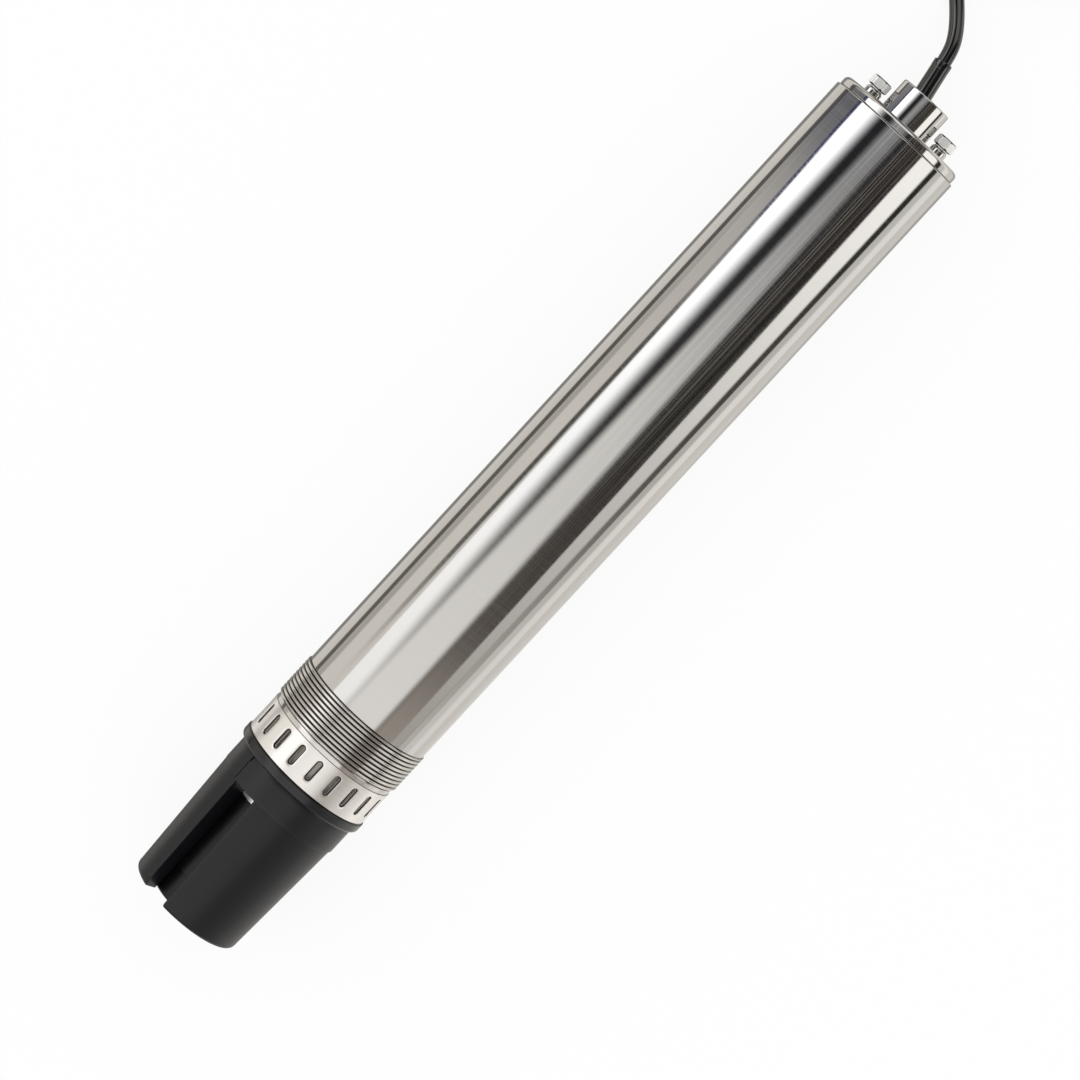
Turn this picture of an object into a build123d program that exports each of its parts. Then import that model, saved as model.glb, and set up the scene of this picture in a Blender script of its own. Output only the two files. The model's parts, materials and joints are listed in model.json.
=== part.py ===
"""A stainless borehole submersible pump, lying on its side.

The motor and three pump stages stand in one long tube. Water comes in through the
slotted strainer, rises through the stages, flows around the canned motor and leaves
through the threaded outlet on the cap, past a spring-loaded check valve.

Millimetres. +X runs along the shaft from the foot to the outlet, and +Z is up. The
origin is under the middle of the pump, on the surface that it lies on.
"""

import os

from build123d import *
from math import cos, pi, radians, sin, tan

# lengths along the shaft, from the foot end to the outlet
foot_length = 93.7
collar_length = 20.0
flange_thickness = 11.0
strainer_length = 22.5
neck_length = 4.0
thread_length = 30.0
tube_length = 502.3
cap_thickness = 7.0
outlet_height = 23.0

# the tube's diameter, and how far the other outsides stand in or out from it
tube_diameter = 98.0
cap_inset = 1.6
neck_step = 0.5
thread_rise = 1.0
flange_lip = 1.0
collar_step = 3.2
foot_step = 0.9
foot_taper = 4.0
cap_bevel = 3.0

# the outlet takes a G1 pipe thread, and this is its core diameter
outlet_bore = 30.2
outlet_wall = 3.4
cap_port = 25.0

# walls and gaps
tube_wall = 2.0
strainer_wall = 3.0
collar_cover = 1.2
rear_cover_step = 0.6
seam = 0.4
slip = 0.1
running = 0.05
clear = 0.5
edge = 1.2

# strainer slots
slot_count = 20
slot_width = 4.8
slot_length = 16.2
slot_above_flange = 3.0
slot_phase = 2.6

# foot
foot_bevel = 3.0
groove_width = 20.0
groove_angle = 29.5
front_cover_left = 43.7
front_cover_span = 177.0
cover_corner = 5.0
rim_steps = 4

# level sensor in the foot
sensor_diameter = 56.8
sleeve_thickness = 0.8
sensor_plug_step = 0.4
sensor_plug_length = 22.0
bare_ring = 7.3
sensor_head = 14.0

# water way inside the strainer
cup_gap = 3.5
cup_wall = 1.5
cup_height = 18.0
spigot_length = 10.0
inlet_wall = 5.0

# pump stages
stage_count = 3
stage_pitch = 32.0
case_wall = 2.0
case_floor = 3.0
eye_diameter = 35.0
impeller_gap = 6.9
impeller_lift = 5.0
shroud = 2.0
blade_height = 6.0
blade_count = 6
blade_thickness = 1.8
blade_sweep = 65.0
blade_lead = 0.4
impeller_hub = 20.0
diffuser_lift = 17.5
diffuser_plate = 2.5
diffuser_gap = 4.0
vane_count = 6
vane_thickness = 2.0
vane_lean = 25.0

# motor
shaft_diameter = 14.0
shaft_below_stages = 4.0
water_gap = 6.0
can_wall = 1.6
bracket_ring = 5.0
bracket_lap = 3.0
bracket_window = 14.0
bracket_post_count = 4
bracket_post = 7.0
bell_thickness = 14.0
thrust_thickness = 4.0
thrust_diameter = 40.0
can_seat = 4.0
stator_clearance = 14.0
stator_length = 130.0
stator_depth = 14.4
air_gap = 0.4
end_ring = 9.0
end_ring_step = 2.0
winding_length = 24.0
winding_inset = 2.5
bush_diameter = 22.0
bush_length = 14.0
upper_plate_thickness = 10.0
capacitor_diameter = 34.0
capacitor_length = 58.0
capacitor_offset = 14.0
lid_thickness = 6.0
seal_diameter = 27.0
seal_ring = 5.0
seal_head_length = 10.0

# check valve
valve_case_bore = 32.0
valve_wall = 4.0
valve_case_length = 26.0
seat_thickness = 4.0
seat_bore = 21.0
poppet_diameter = 27.0
poppet_thickness = 4.0
valve_stem_diameter = 6.0
valve_stem_below_top = 2.5
guide_thickness = 3.0
guide_arm = 8.0
spring_diameter = 13.0
spring_wire = 1.4

# cap furniture
spigot_wall = 5.0
bolt_spacing = 56.0
bolt_diameter = 8.0
bolt_flats = 13.0
bolt_head = 7.8
bolt_turn = -10.0
post_diameter = 11.8
post_height = 5.4
filler_offset = (20.0, -16.0)
filler_diameter = 7.0
filler_height = 2.4
gland_drop = 30.0
gland_flats = 15.0
gland_height = 6.0
gland_stem = 12.0
conduit_diameter = 14.0
conduit_wall = 2.0

# cable: a rubber boot, a short stretch over the floor and a coil of what is left
cable_diameter = 10.0
boot_base = 13.4
boot_end = 12.6
boot_root = 3.0
boot_tip = (382.2, 7.6, 18.0)
first_run = 8.5
cable_route = [
    (399.2, 13.2, 16.3),
    (408.1, 19.8, 13.0),
    (418.3, 29.3, 9.0),
    (432.4, 43.5, 6.0),
    (447.6, 57.9, 5.1),
]
bend_share = 0.45
coil_centre = (513.6, 37.8, 0.0)
coil_diameter = 110.0
coil_columns = 2
coil_layers = 3
coil_turns = 5.4
coil_entry = 134.0
core_diameter = 2.6
core_spread = 1.7
core_length = 14.0
core_count = 3
core_lean = 20.0

# where each stage of the stack starts, measured from the foot end
collar_start = foot_length
flange_start = collar_start + collar_length
strainer_start = flange_start + flange_thickness
neck_start = strainer_start + strainer_length
thread_start = neck_start + neck_length
tube_start = thread_start + thread_length
cap_start = tube_start + tube_length
cap_top = cap_start + cap_thickness
outlet_top = cap_top + outlet_height
stages_start = tube_start + spigot_length
bracket_start = stages_start + stage_count * stage_pitch
bell_start = bracket_start + bracket_ring + bracket_window
bell_top = bell_start + bell_thickness

# diameters that follow from the tube's and from the steps and gaps above
tube_bore = tube_diameter - 2 * tube_wall
cap_diameter = tube_diameter - 2 * cap_inset
thread_diameter = tube_diameter + 2 * thread_rise
neck_diameter = tube_diameter - 2 * neck_step
strainer_diameter = tube_diameter
strainer_bore = strainer_diameter - 2 * strainer_wall
flange_diameter = strainer_diameter + 2 * flange_lip
collar_diameter = flange_diameter - 2 * collar_step
collar_seat = collar_diameter - 2 * collar_cover
foot_top_diameter = collar_diameter - 2 * foot_step
foot_end_diameter = foot_top_diameter - 2 * foot_taper
inlet_bore = tube_bore - 2 * inlet_wall
cup_diameter = strainer_bore - 2 * cup_gap
stack_diameter = tube_bore - 2 * slip
case_bore = stack_diameter - 2 * case_wall
impeller_diameter = case_bore - 2 * impeller_gap
can_diameter = tube_bore - 2 * water_gap
can_bore = can_diameter - 2 * can_wall
rotor_diameter = can_bore - 2 * (stator_depth + air_gap)
outlet_diameter = outlet_bore + 2 * outlet_wall
valve_case_diameter = valve_case_bore + 2 * valve_wall

axis_height = max(flange_diameter, thread_diameter) / 2
foot_end = -outlet_top / 2

shaft_line = Axis((0, 0, axis_height), (1, 0, 0))


def across(distance):
    """A plane square to the shaft, that far from the foot end, looking at the outlet."""
    return Plane(origin=(foot_end + distance, 0, axis_height), x_dir=(0, 1, 0), z_dir=(1, 0, 0))


def lengthwise():
    """The upright plane through the shaft, with distance from the foot end and radius."""
    return Plane(origin=(foot_end, 0, axis_height), x_dir=(1, 0, 0), z_dir=(0, -1, 0))


def ring(start, end, outer, inner=0.0, at=(0.0, 0.0)):
    """Adds a round ring or disc, given by its two ends and its diameters."""
    with BuildSketch(across(start)) as profile:
        with Locations(at):
            Circle(outer / 2)
            if inner:
                Circle(inner / 2, mode=Mode.SUBTRACT)
    extrude(profile.sketch, amount=end - start)


def bore(start, end, diameter, at=(0.0, 0.0)):
    """Cuts a round hole along the shaft's direction."""
    with BuildSketch(across(start)) as profile:
        with Locations(at):
            Circle(diameter / 2)
    extrude(profile.sketch, amount=end - start, mode=Mode.SUBTRACT)


def turned(*points):
    """Adds a solid turned about the shaft from its outline of (distance, diameter)."""
    with BuildSketch(lengthwise()) as profile:
        with BuildLine():
            Polyline(*[(distance, diameter / 2) for distance, diameter in points], close=True)
        make_face()
    revolve(profile.sketch, axis=shaft_line)


def finish(piece, name):
    """Names a finished piece and writes it."""
    piece.part.label = name
    export_step(piece.part, f"parts/{name}.step")


os.makedirs("parts", exist_ok=True)


# Outer shell: tube, threaded ring, strainer

with BuildPart() as outer_tube:
    ring(tube_start, cap_start, tube_diameter, tube_bore)
finish(outer_tube, "outer_tube")

with BuildPart() as threaded_ring:
    turned(
        (neck_start, neck_diameter),
        (thread_start, neck_diameter),
        (thread_start, thread_diameter),
        (tube_start, thread_diameter),
        (tube_start, tube_bore - 2 * slip),
        (stages_start, tube_bore - 2 * slip),
        (stages_start, inlet_bore),
        (neck_start, inlet_bore),
    )
finish(threaded_ring, "threaded_ring")

slot_middle = strainer_start + slot_above_flange + slot_length / 2
with BuildPart() as strainer_ring:
    ring(strainer_start, neck_start, strainer_diameter, strainer_bore)
    slot_plane = Plane(
        origin=(foot_end + slot_middle, 0, axis_height), x_dir=(1, 0, 0), z_dir=(0, 0, 1)
    )
    for turn in range(slot_count):
        slot_turn = slot_phase + turn * 360 / slot_count
        with BuildSketch(slot_plane.rotated((slot_turn, 0, 0))) as slot:
            SlotOverall(slot_length, slot_width)
        extrude(slot.sketch, amount=strainer_diameter, mode=Mode.SUBTRACT)
finish(strainer_ring, "strainer_ring")

with BuildPart() as inlet_cup:
    turned(
        (strainer_start, 0),
        (strainer_start, cup_diameter),
        (strainer_start + cup_height, cup_diameter),
        (strainer_start + cup_height, cup_diameter - 2 * cup_wall),
        (strainer_start + cup_wall, cup_diameter - 2 * cup_wall),
        (strainer_start + cup_wall, 0),
    )
finish(inlet_cup, "inlet_cup")


# Black foot with its groove, its two collar covers and the sensor inside

sleeve_diameter = sensor_diameter + 2 * sleeve_thickness
socket_diameter = sleeve_diameter + 2 * slip
sensor_plug_diameter = sensor_diameter - 2 * sensor_plug_step
sensor_top = collar_start + sensor_head

with BuildPart() as foot_housing:
    turned(
        (0, socket_diameter),
        (0, foot_end_diameter - 2 * foot_bevel),
        (foot_bevel, foot_end_diameter),
        (collar_start, foot_top_diameter),
        (collar_start, collar_seat - 2 * slip),
        (flange_start, collar_seat - 2 * slip),
        (flange_start, flange_diameter - 2 * edge),
        (flange_start + edge, flange_diameter),
        (strainer_start - edge, flange_diameter),
        (strainer_start, flange_diameter - 2 * edge),
        (strainer_start, 0),
        (sensor_top, 0),
        (sensor_top, socket_diameter),
    )
    with BuildSketch(across(0)) as groove:
        with Locations(Rotation(0, 0, -groove_angle)):
            Rectangle(groove_width, flange_diameter, align=(Align.CENTER, Align.MIN))
        Circle(sensor_plug_diameter / 2 - slip, mode=Mode.SUBTRACT)
    extrude(groove.sketch, amount=collar_start, mode=Mode.SUBTRACT)
finish(foot_housing, "foot_housing")


def collar_half(first_angle, span, outer, corner):
    """A cover of the collar: a bent plate from first_angle, seen from the outlet."""
    with BuildSketch(across(collar_start + slip)) as band:
        Circle(outer / 2)
        Circle(collar_seat / 2, mode=Mode.SUBTRACT)
    extrude(band.sketch, amount=collar_length - 2 * slip)
    turns = [radians(first_angle + span * step / rim_steps) for step in range(rim_steps + 1)]
    rim = [(flange_diameter * cos(turn), flange_diameter * sin(turn)) for turn in turns]
    with BuildSketch(across(collar_start)) as sector:
        with BuildLine():
            Polyline((0, 0), *rim, close=True)
        make_face()
    extrude(sector.sketch, amount=collar_length, mode=Mode.INTERSECT)
    if corner:
        corners = edges().filter_by(GeomType.LINE).filter_by(
            lambda e: abs(e.length - (outer - collar_seat) / 2) < 0.01
        )
        fillet(corners.group_by(Axis.X)[-1], corner)


left_seam = 90 - front_cover_left
with BuildPart() as collar_front:
    collar_half(
        left_seam - front_cover_span, front_cover_span, collar_diameter, cover_corner
    )
finish(collar_front, "collar_front")

seam_angle = seam / (collar_diameter / 2) * 180 / pi
with BuildPart() as collar_rear:
    collar_half(
        left_seam + seam_angle,
        360 - front_cover_span - 2 * seam_angle,
        collar_diameter - 2 * rear_cover_step,
        0,
    )
finish(collar_rear, "collar_rear")

with BuildPart() as sensor_can:
    ring(sensor_plug_length, sensor_top, sensor_diameter)
finish(sensor_can, "sensor_can")

with BuildPart() as sensor_sleeve:
    ring(
        sensor_plug_length,
        collar_start - bare_ring,
        sleeve_diameter,
        sensor_diameter + 2 * slip,
    )
finish(sensor_sleeve, "sensor_sleeve")

with BuildPart() as sensor_plug:
    turned(
        (edge, 0),
        (edge, sensor_plug_diameter - 2 * edge),
        (2 * edge, sensor_plug_diameter),
        (sensor_plug_length, sensor_plug_diameter),
        (sensor_plug_length, 0),
    )
finish(sensor_plug, "sensor_plug")


# Pump stages: case, diffuser and impeller with curved blades, stacked in the tube

shaft_hole = shaft_diameter + 2 * clear
impeller_bore = shaft_diameter + 2 * running
hub_hole = impeller_hub + 2 * clear
diffuser_diameter = case_bore - 2 * diffuser_gap
vane_length = (case_bore - hub_hole) / 2 - 2 * clear
vane_middle = (case_bore + hub_hole) / 4
seal_seat_start = bell_start - seal_ring
seal_head_start = seal_seat_start - seal_head_length


def curved_blades(count, inner, outer, thickness, start, height, sweep):
    """Adds blades that curve back from the inner diameter to the outer one."""

    def polar(diameter, turn):
        return (diameter / 2 * cos(radians(turn)), diameter / 2 * sin(radians(turn)))

    for blade in range(count):
        with BuildSketch(across(start).rotated((360 * blade / count, 0, 0))) as foil:
            with BuildLine():
                ThreePointArc(
                    polar(inner, 0),
                    polar((inner + outer) / 2, blade_lead * sweep),
                    polar(outer, sweep),
                )
            trace(line_width=thickness)
        extrude(foil.sketch, amount=height)


for stage in range(stage_count):
    stage_start = stages_start + stage * stage_pitch
    number = stage + 1

    with BuildPart() as stage_case:
        turned(
            (stage_start, eye_diameter),
            (stage_start, stack_diameter),
            (stage_start + stage_pitch, stack_diameter),
            (stage_start + stage_pitch, case_bore),
            (stage_start + case_floor, case_bore),
            (stage_start + case_floor, eye_diameter),
        )
    finish(stage_case, f"stage_case_{number}")

    blades_start = stage_start + impeller_lift
    shroud_start = blades_start + blade_height
    hub_end = stage_start + stage_pitch + impeller_lift - slip
    if number == stage_count:
        hub_end = seal_head_start - slip
    with BuildPart() as impeller:
        turned(
            (blades_start, impeller_bore),
            (blades_start, impeller_hub),
            (shroud_start, impeller_hub),
            (shroud_start, impeller_diameter),
            (shroud_start + shroud, impeller_diameter),
            (shroud_start + shroud, impeller_hub),
            (hub_end, impeller_hub),
            (hub_end, impeller_bore),
        )
        curved_blades(
            blade_count,
            impeller_hub + blade_thickness,
            impeller_diameter - blade_thickness,
            blade_thickness,
            blades_start,
            blade_height,
            blade_sweep,
        )
    finish(impeller, f"impeller_{number}")

    plate_start = stage_start + diffuser_lift
    vane_start = plate_start + diffuser_plate
    with BuildPart() as diffuser:
        ring(plate_start, vane_start, diffuser_diameter, hub_hole)
        with BuildSketch(across(vane_start)) as vanes:
            with PolarLocations(vane_middle, vane_count):
                Rectangle(vane_length, vane_thickness, rotation=vane_lean)
        extrude(vanes.sketch, amount=stage_start + stage_pitch - vane_start)
    finish(diffuser, f"diffuser_{number}")


# Motor bracket, canned motor and its rotor

bracket_top = bell_top + can_seat
bracket_bore = can_diameter - 2 * bracket_lap
lower_bush_start = bracket_top - bush_length
with BuildPart() as motor_bracket:
    ring(bracket_start, bracket_start + bracket_ring, stack_diameter, bracket_bore)
    ring(bell_start, bell_top, can_diameter, shaft_hole)
    ring(bell_top, bracket_top, can_bore - 2 * slip, bush_diameter)
    bore(lower_bush_start, bell_top, bush_diameter)
    with BuildSketch(across(bracket_start + bracket_ring)) as posts:
        with PolarLocations((can_diameter - bracket_post) / 2, bracket_post_count):
            Rectangle(bracket_post, bracket_post)
    extrude(posts.sketch, amount=bracket_window)
finish(motor_bracket, "motor_bracket")

with BuildPart() as seal_seat:
    ring(seal_seat_start, bell_start, seal_diameter, shaft_diameter + 2 * clear)
finish(seal_seat, "seal_seat")

with BuildPart() as seal_head:
    ring(
        seal_head_start,
        seal_seat_start - running,
        seal_diameter,
        shaft_diameter + 2 * running,
    )
finish(seal_head, "seal_head")

with BuildPart() as lower_bush:
    ring(
        lower_bush_start,
        bracket_top,
        bush_diameter - 2 * slip,
        shaft_diameter + 2 * running,
    )
finish(lower_bush, "lower_bush")

with BuildPart() as thrust_pad:
    ring(bracket_top, bracket_top + thrust_thickness, thrust_diameter, shaft_hole)
finish(thrust_pad, "thrust_pad")

collar_pad = bracket_top + thrust_thickness + 2 * running
with BuildPart() as thrust_collar:
    ring(collar_pad, collar_pad + thrust_thickness, thrust_diameter, impeller_bore)
finish(thrust_collar, "thrust_collar")

stator_bottom = bracket_top + winding_length + stator_clearance
stator_top = stator_bottom + stator_length
plate_bottom = stator_top + winding_length + stator_clearance
plate_top = plate_bottom + upper_plate_thickness
lid_start = plate_top + capacitor_length
lid_top = lid_start + lid_thickness

with BuildPart() as motor_can:
    ring(bell_top, lid_start, can_diameter, can_bore)
finish(motor_can, "motor_can")

with BuildPart() as stator_core:
    ring(
        stator_bottom,
        stator_top,
        can_bore - 2 * slip,
        rotor_diameter + 2 * air_gap,
    )
finish(stator_core, "stator_core")

with BuildPart() as stator_windings:
    for start in (stator_bottom - winding_length, stator_top):
        ring(
            start,
            start + winding_length,
            can_bore - 2 * winding_inset,
            rotor_diameter + 2 * winding_inset,
        )
finish(stator_windings, "stator_windings")

with BuildPart() as rotor_core:
    turned(
        (stator_bottom - end_ring, impeller_bore),
        (stator_bottom - end_ring, rotor_diameter - 2 * end_ring_step),
        (stator_bottom, rotor_diameter - 2 * end_ring_step),
        (stator_bottom, rotor_diameter),
        (stator_top, rotor_diameter),
        (stator_top, rotor_diameter - 2 * end_ring_step),
        (stator_top + end_ring, rotor_diameter - 2 * end_ring_step),
        (stator_top + end_ring, impeller_bore),
    )
finish(rotor_core, "rotor_core")

with BuildPart() as upper_plate:
    ring(plate_bottom, plate_top, can_bore - 2 * slip, bush_diameter)
finish(upper_plate, "upper_plate")

with BuildPart() as upper_bush:
    ring(plate_bottom, plate_top, bush_diameter - 2 * slip, shaft_diameter + 2 * running)
finish(upper_bush, "upper_bush")

with BuildPart() as motor_lid:
    ring(lid_start, lid_top, can_diameter)
finish(motor_lid, "motor_lid")

with BuildPart() as run_capacitor:
    ring(plate_top, lid_start, capacitor_diameter, at=(0, capacitor_offset))
finish(run_capacitor, "run_capacitor")

with BuildPart() as shaft:
    ring(stages_start - shaft_below_stages, plate_top, shaft_diameter)
finish(shaft, "shaft")


# Cap, outlet, and the check valve under it

with BuildPart() as top_cap:
    turned(
        (cap_start - spigot_length, stack_diameter - 2 * spigot_wall),
        (cap_start - spigot_length, stack_diameter),
        (cap_start, stack_diameter),
        (cap_start, cap_diameter),
        (cap_top - cap_bevel, cap_diameter),
        (cap_top, cap_diameter - 2 * cap_bevel),
        (cap_top, cap_port),
        (cap_start, cap_port),
        (cap_start, stack_diameter - 2 * spigot_wall),
    )
    for side in (-1, 1):
        bore(cap_start, cap_top, bolt_diameter + 2 * slip, at=(side * bolt_spacing / 2, 0))
    bore(cap_start, cap_top, gland_stem + 2 * slip, at=(0, -gland_drop))
finish(top_cap, "top_cap")

with BuildPart() as outlet_socket:
    turned(
        (cap_top, outlet_bore),
        (cap_top, outlet_diameter),
        (outlet_top - edge, outlet_diameter),
        (outlet_top, outlet_diameter - 2 * edge),
        (outlet_top, outlet_bore),
    )
finish(outlet_socket, "outlet_socket")

valve_start = cap_start - valve_case_length
seat_top = valve_start + seat_thickness
poppet_top = seat_top + 2 * running + poppet_thickness
guide_start = cap_start - guide_thickness
with BuildPart() as valve_case:
    turned(
        (valve_start, seat_bore),
        (valve_start, valve_case_diameter),
        (cap_start, valve_case_diameter),
        (cap_start, valve_case_bore),
        (seat_top, valve_case_bore),
        (seat_top, seat_bore),
    )
finish(valve_case, "valve_case")

with BuildPart() as valve_poppet:
    ring(seat_top + 2 * running, poppet_top, poppet_diameter)
    ring(poppet_top, cap_top - valve_stem_below_top, valve_stem_diameter)
finish(valve_poppet, "valve_poppet")

with BuildPart() as valve_guide:
    ring(guide_start, cap_start, valve_case_bore - 2 * slip)
    with BuildSketch(across(guide_start)) as cross:
        Rectangle(valve_case_bore, guide_arm)
        Rectangle(guide_arm, valve_case_bore)
    extrude(cross.sketch, amount=guide_thickness, mode=Mode.INTERSECT)
    bore(guide_start, cap_start, valve_stem_diameter + 2 * running)
finish(valve_guide, "valve_guide")

with BuildPart() as valve_spring:
    ring(
        poppet_top,
        guide_start,
        spring_diameter,
        spring_diameter - 2 * spring_wire,
    )
finish(valve_spring, "valve_spring")


# What stands on the cap: bolts on their posts, filler plug and cable gland

with BuildPart() as bolt_posts:
    for side in (-1, 1):
        ring(
            cap_top,
            cap_top + post_height,
            post_diameter,
            bolt_diameter + 2 * slip,
            at=(side * bolt_spacing / 2, 0),
        )
finish(bolt_posts, "bolt_posts")

head_start = cap_top + post_height
with BuildPart() as cap_bolts:
    for side in (-1, 1):
        ring(cap_start, head_start, bolt_diameter, at=(side * bolt_spacing / 2, 0))
        with BuildSketch(across(head_start)) as head:
            with Locations((side * bolt_spacing / 2, 0)):
                RegularPolygon(bolt_flats / 2, 6, major_radius=False, rotation=bolt_turn)
        extrude(head.sketch, amount=bolt_head)
finish(cap_bolts, "cap_bolts")

with BuildPart() as filler_plug:
    ring(cap_top, cap_top + filler_height, filler_diameter, at=filler_offset)
finish(filler_plug, "filler_plug")

gland_top = cap_top + gland_height
with BuildPart() as cable_gland:
    ring(cap_start, cap_top, gland_stem, at=(0, -gland_drop))
    with BuildSketch(across(cap_top)) as nut:
        with Locations((0, -gland_drop)):
            RegularPolygon(gland_flats / 2, 6, major_radius=False)
    extrude(nut.sketch, amount=gland_height)
finish(cable_gland, "cable_gland")

with BuildPart() as lead_conduit:
    ring(
        lid_top,
        cap_start,
        conduit_diameter,
        conduit_diameter - 2 * conduit_wall,
        at=(0, -gland_drop),
    )
finish(lead_conduit, "lead_conduit")


# Cable: a leaning boot on the gland, the stretch over the floor and the put-away coil

gland_place = Vector(foot_end + gland_top, 0, axis_height - gland_drop)
boot_line = Vector(*boot_tip) - gland_place
boot_plane = Plane(origin=gland_place, x_dir=(0, 1, 0), z_dir=boot_line)
with BuildPart() as cable_boot:
    with BuildSketch(boot_plane.offset(-boot_root)):
        Circle(boot_base / 2)
    with BuildSketch(boot_plane.offset(boot_line.length)):
        Circle(boot_end / 2)
    loft()
    split(bisect_by=across(gland_top), keep=Keep.TOP)
finish(cable_boot, "cable_boot")

cable_start = Vector(*boot_tip)
corners = [cable_start, cable_start + boot_line.normalized() * first_run]
corners.extend(Vector(*point) for point in cable_route)
runs = [after - before for before, after in zip(corners, corners[1:])]
turn_angles = [first.get_angle(second) for first, second in zip(runs, runs[1:])]
bend_radii = [
    bend_share * min(first.length, second.length) / tan(radians(turn) / 2)
    for first, second, turn in zip(runs, runs[1:], turn_angles)
]
print("cable bend radii:", [round(radius, 1) for radius in bend_radii])

with BuildPart() as power_cable:
    with BuildLine() as route:
        FilletPolyline(*corners, radius=bend_radii)
    with BuildSketch(Plane(origin=corners[0], z_dir=runs[0])):
        Circle(cable_diameter / 2)
    sweep()
finish(power_cable, "power_cable")
run_length = sum(edge.length for edge in route.edges())
section = pi * cable_diameter**2 / 4
print("cable length:", round(run_length, 2))
print("cable volume over section times length:", power_cable.part.volume / section / run_length)

coil_inside = coil_diameter / 2 - coil_columns * cable_diameter / 2
with BuildPart() as cable_coil:
    with BuildSketch(Plane(origin=coil_centre)):
        Circle(coil_inside + coil_columns * cable_diameter)
        Circle(coil_inside, mode=Mode.SUBTRACT)
    extrude(amount=coil_layers * cable_diameter)
finish(cable_coil, "cable_coil")

# the cable is wound clockwise, and its bare end leans into the middle of the coil
end_turn = coil_entry - 360 * coil_turns
end_spoke = Vector(1, 0, 0).rotate(Axis.Z, end_turn)
core_place = Vector(*coil_centre) + end_spoke * coil_inside + Vector(0, 0, cable_diameter / 2)
core_direction = end_spoke.rotate(Axis.Z, -90 - core_lean)
with BuildPart() as cable_cores:
    with BuildSketch(Plane(origin=core_place, z_dir=core_direction)):
        with PolarLocations(core_spread, core_count):
            Circle(core_diameter / 2)
    extrude(amount=core_length)
finish(cable_cores, "cable_cores")
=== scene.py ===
"""Looks for a stainless borehole pump that lies on a pale studio floor.

The pump lies along X with its outlet at +X and its shaft 50 mm over the floor. Every piece is
made in metres where it stands, and most are turned about the shaft's line. Distances along
the pump count from the foot's end in millimetres.
"""

import json
import math

import bmesh
import bpy
from mathutils import Matrix, Vector


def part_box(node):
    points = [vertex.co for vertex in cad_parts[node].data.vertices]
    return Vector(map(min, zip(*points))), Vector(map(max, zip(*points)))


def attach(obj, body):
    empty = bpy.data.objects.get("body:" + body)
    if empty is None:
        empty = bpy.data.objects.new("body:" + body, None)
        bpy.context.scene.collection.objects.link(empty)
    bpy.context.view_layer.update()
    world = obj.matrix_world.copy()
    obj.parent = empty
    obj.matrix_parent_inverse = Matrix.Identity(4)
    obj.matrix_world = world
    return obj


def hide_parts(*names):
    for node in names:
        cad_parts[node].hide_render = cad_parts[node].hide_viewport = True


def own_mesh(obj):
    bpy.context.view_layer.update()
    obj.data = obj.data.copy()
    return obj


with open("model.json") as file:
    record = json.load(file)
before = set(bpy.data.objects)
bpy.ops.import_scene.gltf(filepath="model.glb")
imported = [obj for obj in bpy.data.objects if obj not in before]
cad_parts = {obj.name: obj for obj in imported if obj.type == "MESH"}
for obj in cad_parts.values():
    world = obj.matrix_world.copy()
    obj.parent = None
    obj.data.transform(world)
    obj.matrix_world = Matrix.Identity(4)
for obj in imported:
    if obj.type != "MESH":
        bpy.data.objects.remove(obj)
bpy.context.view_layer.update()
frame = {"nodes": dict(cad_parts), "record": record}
nodes = frame["nodes"]
scene = bpy.context.scene

MM = 0.001
MICRON = 0.000001
SHAFT_HEIGHT = 50.0
FOOT_END = -356.75


def place(distance, side, up):
    """A point in metres from its distance from the foot's end, its y and its height off the shaft."""
    return Vector((FOOT_END + distance, side, SHAFT_HEIGHT + up)) * MM


# Camera

camera_data = bpy.data.cameras.new("camera")
camera_data.lens = 114.27
camera_data.sensor_width = 36.0
camera_data.clip_start = 0.1
camera_data.clip_end = 30.0
camera = bpy.data.objects.new("camera", camera_data)
camera.location = (0.25482, 0.02130, 2.25285)
camera.rotation_euler = [math.radians(turn) for turn in (-5.7444, 4.1980, -47.6054)]
scene.collection.objects.link(camera)
scene.camera = camera
scene.view_settings.view_transform = "Standard"


# Node helpers

FLOAT = "NodeSocketFloat"
WHOLE = "NodeSocketInt"
COLOUR = "NodeSocketColor"
VECTOR = "NodeSocketVector"
MATERIAL = "NodeSocketMaterial"
GEOMETRY = "NodeSocketGeometry"


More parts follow.
